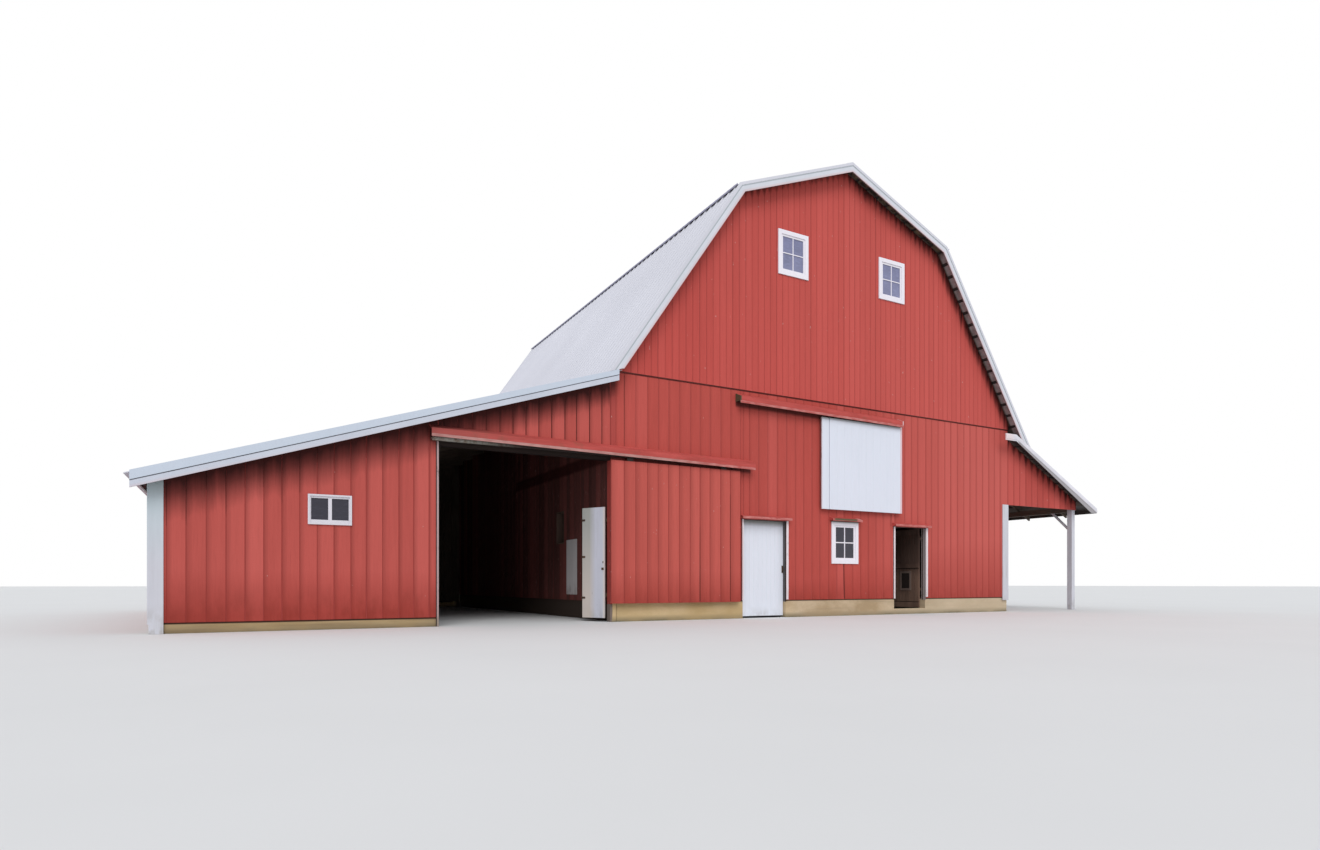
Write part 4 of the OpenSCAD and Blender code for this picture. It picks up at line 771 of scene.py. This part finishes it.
b = Build()
b.plate([(-0.088, 0), (0, 0), (0, FOUND), (-0.08, FOUND), (-0.075, 0.2)], -0.007, 0, "concrete")
b.object("foundation_corner", "concrete")


def main_wall(build, place, joints, holes):
    """The main barn's front or back under the gable, with the dark strip at its top."""
    wall(build, place, joints, FOUND, BELT_FOOT, "main_red", holes=holes)
    slab(build, place, 0, MAIN_W, BELT_FOOT, BELT, "seam_red", 0.01, WALL - 0.01)


LOFT_HOLE = (5.155, 7.495, 2.492, 4.406)
b = Build()
main_wall(b, front, MAIN_JOINTS, [
    opening(*MAIN_WIN), LOFT_HOLE, (WHITE_X, WHITE_X + WHITE_W, 0, HEAD),
    (DARK_X, DARK_X + DARK_W, 0, HEAD)])
cracks(b, front, [(7.31, 2.11, 2.4, 0.0045, 0.0045), (0.18, 3.3, 4.78, 0.002, 0.005)])
# The long crack under the main window
b.plate([(5.797, 1.19), (5.822, 0.395), (5.842, 0.395), (5.819, 1.19)], -0.003, 0.002, "seam_red")
b.object("siding_main_front", "red_siding",
         ["front_wall_left", "front_wall_middle", "front_wall_right", "front_wall_upper"])


def gable_wall(place, name, node):
    """Grooved panels: six boards between two deeper joints."""
    build = Build()
    cuts = {"holes": [opening(*w) for w in GABLE_WINS], "breaks": [MID - KNEE, MID, MID + KNEE]}
    groove = 0.005
    for u0, u1 in zip(PANEL_JOINTS, PANEL_JOINTS[1:]):
        boards(build, place, spaced(u0 + 0.005, u1 - 0.005, 0.163), BELT, gable_z, "gable_red",
               thick=groove, gap=0.009, wave=0.0012, spread=0.7, **cuts)
    core(build, place, PANEL_JOINTS[0], PANEL_JOINTS[-1], BELT, gable_z, groove,
         WALL + GABLE_LAP, 0.28, **cuts)
    build.object(name, "red_siding", [node])


gable_wall(front_lap, "siding_front_gable", "front_gable")
gable_wall(back_lap, "siding_back_gable", "back_gable")

b = Build()
main_wall(b, back, spaced(0, MAIN_W, PITCH, JITTER), [opening(*MAIN_WIN)])
b.object("siding_back", "red_siding", ["back_wall"])

b = Build()
wall(b, back, spaced(-LEAN_W, 0, 0.25, JITTER), LEAN_FOUND, lean_z, "barn_red",
     holes=[opening(*LEAN_WIN)])
b.object("siding_lean_back", "red_siding", ["lean_back_wall"])

b = Build()
wall(b, face_x(-LEAN_W), spaced(WALL, MAIN_D - WALL, 0.25, JITTER), LEAN_FOUND,
     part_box("lean_side_wall")[1][2], "barn_red")
b.object("siding_lean_side", "red_siding", ["lean_side_wall"])

# The corner boards' other halves, on the lean-to's side wall
b = Build()
for y0, y1 in ((-0.02, 0.2), (MAIN_D - 0.2, MAIN_D + 0.02)):
    b.box((-LEAN_W - 0.02, y0, LEAN_FOUND - 0.02), (-LEAN_W, y1, lean_z(-LEAN_W) - 0.02),
          "post_white", 0.6)
b.object("side_corner_boards", "white_paint")

# The wall hatch, then the window without glass, both in the inner wall
HATCH, BARE_WINDOW = (1.93, 2.53, 0.5, 1.7), (2.67, 3.13, 1.63, 2.36)
b = Build()
wall(b, face_x(0), spaced(WALL, MAIN_D - WALL, 0.2, JITTER), FOUND, SIDE_TOP, "old_red", 0.012,
     [BARE_WINDOW, HATCH])
wall(b, face_x(MAIN_W, -1), spaced(WALL, MAIN_D - WALL, PITCH, JITTER), FOUND, SIDE_TOP,
     "main_red")
b.object("siding_sides", "red_siding", ["side_walls"])

b = Build()
for place in (front, back):
    ends = MAIN_W, MAIN_W + PORCH_W
    boards(b, place, spaced(*ends, PITCH, JITTER), PORCH_LOW, porch_z, "porch_red", thick=GROOVE,
           gap=0.014)
    slab(b, place, *ends, PORCH_LOW, porch_z, "gap_red", GROOVE, RED_LAYER)
    slab(b, place, *ends, PORCH_LOW, porch_z, "timber_z", GROOVE + RED_LAYER, 0.02)
b.object("siding_porch_gables", "red_siding", ["porch_gables"])

# ---- doors
# The hinged doors: their backs and their pins, and their thickness
LEAF_BACK, PIN_Y, DOOR_T = 0.0163, 0.162, 0.045


def hinged(pin_x, angle):
    """Places u along the closed leaf from its pin, z up and d inwards from the outer face."""
    turn = Matrix.Translation((X0 + pin_x, Y0 + PIN_Y, 0)) @ Matrix.Rotation(
        -math.radians(angle), 4, "Z")
    return lambda u, z, d: tuple(turn @ Vector((u, -LEAF_BACK - DOOR_T + d, z)))


def rails(build, place, u0, u1, bars, mat, d0, d1):
    """Bars from u0 to u1 and d0 to d1, each with a foot and a head."""
    for z0, z1 in bars:
        build.box((u0, d0, z0), (u1, d1, z1), mat, rng.random(), place)


def from_corner(low, high):
    """A box's ends in x, y and z, with x and y from the main barn's corner."""
    return low[0] - X0, high[0] - X0, low[1] - Y0, high[1] - Y0, low[2], high[2]


# Sliding leaf, with a frame and a middle rail behind its boards
u0, u1, y0, y1, z0, z1 = from_corner(*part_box("sliding_door"))
place = face_y(y0)
frame_w, mid0, mid1 = 0.14, 1.65, 1.79
b = Build()
boards(b, place, [u0, 0.128, 0.375, 0.634, 0.871, 1.11, 1.359, 1.612, 1.848, 2.087, 2.35, 2.592,
                  u1], z0, z1, "leaf_red", gap=0.014, thick=GROOVE, spread=0.55)
slab(b, place, u0, u1, z0, z1, "gap_red", GROOVE, BOARD - GROOVE)
cracks(b, place, [(1.848, z0 + 0.02, 1.9, 0.008, 0.002), (2.592, z0 + 0.02, 2.6, 0.004, 0.002)])
rails(b, place, u0, u1, [(z0, z0 + frame_w), (mid0, mid1), (z1 - frame_w, z1)], "post_red",
      BOARD, y1 - y0)
for foot, head in ((z0 + frame_w, mid0), (mid1, z1 - frame_w)):
    for left in (u0, u1 - frame_w):
        rails(b, place, left, left + frame_w, [(foot, head)], "post_red", BOARD, y1 - y0)
b.object("sliding_leaf_boards", "red_siding", ["sliding_door"], "sliding_leaf")

# White door
white_place = hinged(WHITE_X + WHITE_W, 0)
z0, z1 = 0.04, HEAD - CLEAR
u0, u1 = CLEAR - WHITE_W, -CLEAR
b = Build()
boards(b, white_place, spaced(u0, u1, 0.114), z0, z1, "door_white", thick=0.02, gap=0.003,
       ease=0.0025, wave=0.0008, spread=0.5)
boards(b, white_place, [u0, u1], z0, z1, "door_white", depth=0.004, thick=0.02, gap=0.002,
       ease=0, wave=0)
rails(b, white_place, u0 + 0.06, u1 - 0.06, [(0.24, 0.38), (1.02, 1.16), (1.62, 1.76)],
      "worn_white", 0.024, DOOR_T)
b.object("white_door_boards", "white_paint", ["white_door"], "white_leaf")

# Dark door, with rails on its outer face and a small framed hatch
place = hinged(DARK_X + DARK_W, 90)
z0, z1 = 0.146, HEAD - CLEAR
u0, u1 = CLEAR - DARK_W, -CLEAR
rail_t = 0.014
b = Build()
boards(b, place, spaced(u0, u1, 0.15), z0, z1, "dark_planks", rail_t, DOOR_T - rail_t, gap=0.007,
       ease=0.003, wave=0.003, spread=1.6)
rails(b, place, u0, u1, [(z0, z0 + 0.13), (1.13, 1.24), (z1 - 0.13, z1)], "dark_planks", 0,
      rail_t)
rails(b, place, u0, u1, [(z0 + 0.13, z0 + 0.145), (1.112, 1.13)], "dark_joint", 0.008,
      rail_t + 0.0005)
left, right, foot, head, rim = -0.62, -0.26, 0.62, 1, 0.05
rails(b, place, left, right, [(foot - rim, foot), (head, head + rim)], "hatch_frame", -0.002,
      rail_t)
for edge in (left, right - rim):
    rails(b, place, edge, edge + rim, [(foot, head)], "hatch_frame", -0.002, rail_t)
rails(b, place, left + rim, right - rim, [(foot, head)], "hatch_hole", 0.006, rail_t + 0.0005)
b.object("dark_door_boards", "weathered_door", ["dark_door"], "dark_leaf")

# Narrow leaf beside the big doorway
narrow_place = hinged(BIG_R, LEAF_ANGLE)
b = Build()
boards(b, narrow_place, spaced(-LEAF_W, -CLEAR, 0.185), 0.07, 2.22, "leaf_white", thick=0.024,
       gap=0.001, ease=0.001, wave=0.001)
rails(b, narrow_place, 0.03 - LEAF_W, -CLEAR - 0.02, [(0.3, 0.42), (1.1, 1.22), (1.55, 1.67)],
      "worn_white", 0.024, DOOR_T)
b.object("narrow_leaf_boards", "white_paint", ["side_leaf"], "narrow_leaf")

# Loft door, with a separate strip at its left and a pink one at its right
u0, u1, y0, _, z0, z1 = from_corner(*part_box("loft_door"))
place = face_y(y0)
strip, pink = 0.205, 0.06
b = Build()
boards(b, place, [u0, u0 + strip], z0, z1, "loft_white", depth=0.006, thick=0.018, gap=0,
       wave=0)
boards(b, place, spaced(u0 + strip + 0.009, u1 - pink, 0.225), z0, z1, "loft_white", gap=0.001,
       ease=0.0008, wave=0.0004, spread=0.2)
boards(b, place, [u1 - pink, u1], z0, z1, "pink_white", thick=0.024, gap=0.002, wave=0)
slab(b, place, u0, u1, z0, z1, "worn_white", 0.024, 0.021)
b.object("loft_door_boards", "white_paint", ["loft_door"])

# Hatch in the inner wall
u0, u1, z0, z1 = HATCH
b = Build()
boards(b, face_x(0), spaced(u0, u1, 0.2), z0, z1, "hatch_white", thick=0.03, gap=0.004)
b.object("hatch_boards", "white_paint", ["wall_hatch"])


# ---- windows
def window_parts(place, win, upright, level_bars, pane):
    """Adds a window's bars, upright and level, and the pane behind the bars' faces."""
    x, z, w, h, edge = win
    half_w, half_h = w / 2 - sum(edge), h / 2 - sum(edge)
    near, far = -0.005, 0.0245
    bars.box((x - upright, near + 0.001, z - half_h), (x + upright, far - 0.001, z + half_h),
             "casing_white", place=place)
    for up, half in level_bars:
        bars.box((x - half_w, near, z + up - half), (x + half_w, far, z + up + half),
                 "casing_white", place=place)
    panes.box((x - half_w, 0.0075, z - half_h), (x + half_w, 0.0125, z + half_h), pane,
              place=place)


bars, panes = Build(), Build()
for low_face, high_face in ((front, front_lap), (back, back_lap)):
    window_parts(low_face, MAIN_WIN, 0.012, [(0, 0.012)], "low_glass")
    window_parts(low_face, LEAN_WIN, 0.027, [(-0.178, 0.015), (0.187, 0.006)], "low_glass")
    for win in GABLE_WINS:
        window_parts(high_face, win, 0.01, [(0, 0.01)], "gable_glass")
bars.object("window_bars", "white_paint")
panes.object("window_panes", "window_glass", ["window_glass"])

# ---- edges of the roofs
# The faces of the rake boards, and the way out from each
FRONT_RAKE, BACK_RAKE = (-RAKE_OVER, -1), (MAIN_D + RAKE_OVER, 1)

# The metal edge along the main rakes
b = Build()
edge = 0.06
for face, out in (FRONT_RAKE, BACK_RAKE):
    y0, y1 = sorted((face + out * 0.004, face - out * 0.001))
    for side, top, pitch in ((1, PORCH_TOP, PORCH_PITCH), (-1, LEAN_TOP, LEAN_PITCH)):
        def at(u, slope, t):
            return MID + side * u, slope(u, t)
        knee, inner_knee = at(knee_u(0), upper_z, 0), at(knee_u(edge), upper_z, edge)
        feet = [at(foot_u(top, pitch, t), lower_z, t) for t in (0, edge)]
        for outline in ([at(0, upper_z, 0), knee, inner_knee, at(0, upper_z, edge)],
                        [knee, *feet, inner_knee]):
            b.plate(outline, y0, y1, "roof_metal", 0.6)
b.object("rake_edges", "white_paint")

# The shaded groove of the lean-to's rake
b = Build()
x0, x1 = -7.7, -0.075
for face, out in (FRONT_RAKE, BACK_RAKE):
    y0, y1 = sorted((face - out * 0.0015, face - out * 0.005))
    b.plate([(x0, lean_z(x0, 0.1295)), (x1, lean_z(x1, 0.0925)), (x1, lean_z(x1, 0.1055)),
             (x0, lean_z(x0, 0.1425))], y0, y1, "rake_shadow")
b.object("rake_groove", "old_timber")


def rib_end(build, at, wide, narrow, high, low, mat):
    """The dark hollow of a rib, seen at the end of a sheet."""
    outline = (-wide, low), (-narrow, high), (narrow, high), (wide, low)
    build.rings([[at(y, t, out) for y, t in outline] for out in (0.0015, -0.004)], mat)


# The upper sheets end over the knee: a lip with a dark gap under each rib
b, lips = Build(), Build()
length = KNEE / math.cos(UPPER) + 0.08
for side in (-1, 1):
    def knee_end(y, t, out):
        s = length + out
        return (X0 + MID + side * (s * math.cos(UPPER) - t * math.sin(UPPER)), Y0 + y,
                APEX - s * math.sin(UPPER) - t * math.cos(UPPER))
    for rib in RIBS:
        rib_end(b, lambda y, t, out: knee_end(rib + y, t, out), 0.055, 0.045, 0.031, 0.046,
                "rib_gap")
    outline = (0.004, 0), (0.034, 0), (0.034, -0.004), (0.004, -0.004)
    lips.rings([[knee_end(y, t, out) for t, out in outline]
                for y in (-RAKE_OVER, MAIN_D + RAKE_OVER)], "lilac_edge")
lips.object("knee_lips", "roof_metal")
for rib in RIBS:
    rib_end(b, lambda y, t, out: (X0 + LEAN_END - out, Y0 + rib + y, lean_z(LEAN_END, t)),
            0.025, 0.009, 0.003, 0.019, "rake_shadow")
b.object("rib_ends", "old_timber")

# ---- fittings
def ironwork(name, body, place, parts):
    """Iron parts: left, right, foot and head on the leaf, and the two ends in depth."""
    build = Build()
    for u0, u1, z0, z1, d0, d1 in parts:
        build.box((u0, d0, z0), (u1, d1, z1), "iron", rng.random(), place)
    build.object(name, "steel", body=body)


# The narrow leaf's hinge plates with their knuckles, its knob and its bolt
plates = []
for z in (0.46, 1.26, 1.98):
    plates += [(-LEAF_W, 0.075 - LEAF_W, z - 0.02, z + 0.02, -0.006, 0),
               (-LEAF_W - 0.016, 0.005 - LEAF_W, z - 0.026, z + 0.026, -0.009, 0.02)]
plates += [(-0.075, -0.025, 1, 1.045, -0.012, 0), (-0.052, -0.035, 1.13, 1.17, -0.005, 0)]
ironwork("narrow_leaf_fittings", "narrow_leaf", narrow_place, plates)

# The white door's latch: a plate, a grip and its two feet
ironwork("white_door_latch", "white_leaf", white_place, [
    (-0.05, -0.012, 0.97, 1.13, -0.005, 0), (-0.042, -0.022, 1, 1.1, -0.03, -0.018),
    (-0.042, -0.022, 1, 1.02, -0.02, -0.004), (-0.042, -0.022, 1.08, 1.1, -0.02, -0.004)])

# Trim boards at the doors: left edge, right edge, foot, head, paint, and whether the board is
# at a doorway's left, where it has a dark joint at its outer side
WHITE_R, DARK_R = WHITE_X + WHITE_W, DARK_X + DARK_W
TRIMS = [
    (BIG_L - 0.03, BIG_L, 0, BIG_Z + 0.06, "weathered_jamb", True),
    (WHITE_X - 0.034, WHITE_X, FOUND, HEAD, "trim_white", True),
    (WHITE_R, WHITE_R + 0.046, FOUND + 0.01, HEAD, "trim_white", False),
    (DARK_X - 0.042, DARK_X, FOUND, HEAD, "trim_white", True),
    (DARK_R - 0.01, DARK_R + 0.052, FOUND + 0.03, HEAD, "trim_white", False),
]
STEPS = 14
b = Build()
for x0, x1, z0, z1, mat, at_left in TRIMS:
    worn0, worn1 = (0.3, 0) if at_left else (0, 1)
    worn = [(z0 + (z1 - z0) * i / STEPS, rng.uniform(-0.003, 0.003)) for i in range(STEPS + 1)]
    left, right = ([(x + part * r, z) for z, r in worn] for x, part in ((x0, worn0), (x1, worn1)))
    b.plate(left + right[::-1], -TRIM, 0, mat, rng.random())
    if at_left:
        b.box((x0 - 0.011, -0.006, z0), (x0 - 0.002, 0.002, z1), "dark_joint")
# The right jambs inside the two small doorways
for x0, x1, d0, d1, mat in (
        (DARK_R - 0.003, DARK_R, 0.002, 0.137, "pale_jamb"),
        (DARK_R - 0.0035, DARK_R - 0.002, 0.09, 0.12, "dark_frame"),
        (WHITE_R - 0.003, WHITE_R, 0.002, 0.05, "dark_frame"),
        (WHITE_R - 0.003, WHITE_R, 0.05, 0.094, "reveal")):
    b.box((x0, d0, 0.34), (x1, d1, HEAD), mat)
b.object("door_trim_boards", "white_paint", ["door_trim"])

# The rounded metal edge along the porch's rakes, with a level cap at its upper end. Each point
# of the line has a height and the part of the full width that the edge has there.
b = Build()
start, end, round_w = MAIN_W - 0.06, MAIN_W + PORCH_W + 0.47 + TRIM, 0.145
line = [(start - back_off, porch_z(start, 0), part) for back_off, part in (
    (0.42, 0.55), (0.412, 0.8), (0.395, 0.95), (0.37, 1), (0, 1))]
line += [(end - short, porch_z(end - short, 0), part) for short, part in (
    (0.05, 1), (0.02, 0.9), (0, 0.6))]
arc = [(math.cos(a), math.sin(a)) for a in (math.pi * i / 8 for i in range(9))]
for face, out in (FRONT_RAKE, BACK_RAKE):
    b.rings([[(X0 + x, Y0 + face + out * (0.016 * part * s - 0.001),
               top - 0.002 - round_w / 2 + round_w / 2 * part * c) for c, s in arc]
             for x, top, part in line], "porch_rake")
b.object("porch_rake_edges", "white_paint")

# ---- materials of the CAD nodes
SKINS = {
    "concrete": "main_foundation lean_foundation",
    "post_white": "porch_posts porch_braces corner_boards",
    "lean_rake": "lean_trim",
    "lean_edge": "lean_edges",
    "rake_white": "main_rake_trim",
    "porch_rake": "porch_trim",
    "casing_white": "window_frames",
    "roof_metal": "upper_roof lower_roof ridge_cap lean_roof porch_roof",
    "timber_x": "loft_joists main_rafters side_rafters",
    "timber_y": "loft_floor loft_girders porch_beam",
    "timber_z": "loft_posts",
    "roof_boards": "main_roof_boards",
    "side_boards": "side_roof_boards",
    "brown_frame": "inner_window_frame",
    "hood_red": "track_hoods small_hoods",
    "hood_edge": "hood_edges",
    "track_steel": "door_tracks door_hangers loft_hangers",
    "iron": "hinge_pintles white_door_straps dark_door_straps side_leaf_straps",
}
for mat, names in SKINS.items():
    for name in names.split():
        data = NODES[name].data
        data.materials.clear()
        data.materials.append(MAT[mat])

# ---- stage, light and camera
s = Shader("pale_floor", 0.9, 0.1)
s.colour = s.mix(s.noise((0.4, 0.4, 0.4), 3), (0.74, 0.74, 0.74), (0.78, 0.78, 0.78))
s.finish()
FLOOR_Z, FLOOR_HALF = -0.002, 260
mesh = bpy.data.meshes.new("floor")
mesh.from_pydata([(x * FLOOR_HALF, y * FLOOR_HALF, FLOOR_Z)
                  for x, y in ((-1, -1), (1, -1), (1, 1), (-1, 1))], [], [(0, 1, 2, 3)])
mesh.materials.append(s.mat)
floor = link("floor", mesh)
floor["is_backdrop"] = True

# The world is white where it is seen, also in glass and metal, and a little dimmer as a light
world = bpy.data.worlds.new("studio")
scene.world = world
world.use_nodes = True
tree = world.node_tree
tree.nodes.clear()
ray = add_node(tree, "ShaderNodeLightPath")
seen = ray["Is Camera Ray"]
for kind in ("Is Glossy Ray", "Is Transmission Ray"):
    seen = add_node(tree, "ShaderNodeMath", {0: seen, 1: ray[kind]}, operation="MAXIMUM")[0]
dim = add_node(tree, "ShaderNodeBackground", {"Color": (0.93, 0.96, 1, 1), "Strength": 0.72})[0]
white = add_node(tree, "ShaderNodeBackground", {"Color": (1, 1, 1, 1), "Strength": 1})[0]
blend = add_node(tree, "ShaderNodeMixShader", {0: seen, 1: dim, 2: white})[0]
add_node(tree, "ShaderNodeOutputWorld", {"Surface": blend})

lamp = link("soft_sun", bpy.data.lights.new("soft_sun", "SUN"))
lamp.data.energy, lamp.data.angle = 1.25, math.radians(35)
lamp.rotation_euler = Vector((0.35, 1, -0.95)).to_track_quat("-Z", "Y").to_euler()

camera = scene.camera = link("camera", bpy.data.cameras.new("camera"))
camera.data.sensor_width, camera.data.lens = 36, 20.692
camera.data.shift_y, camera.data.clip_end = 0.12037, 1000
camera.location = (X0 - 6.37, Y0 - 13.2, 0.73)
camera.rotation_euler = (math.radians(90), 0, -math.radians(29.085))

scene.view_settings.view_transform = "Standard"

low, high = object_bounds()
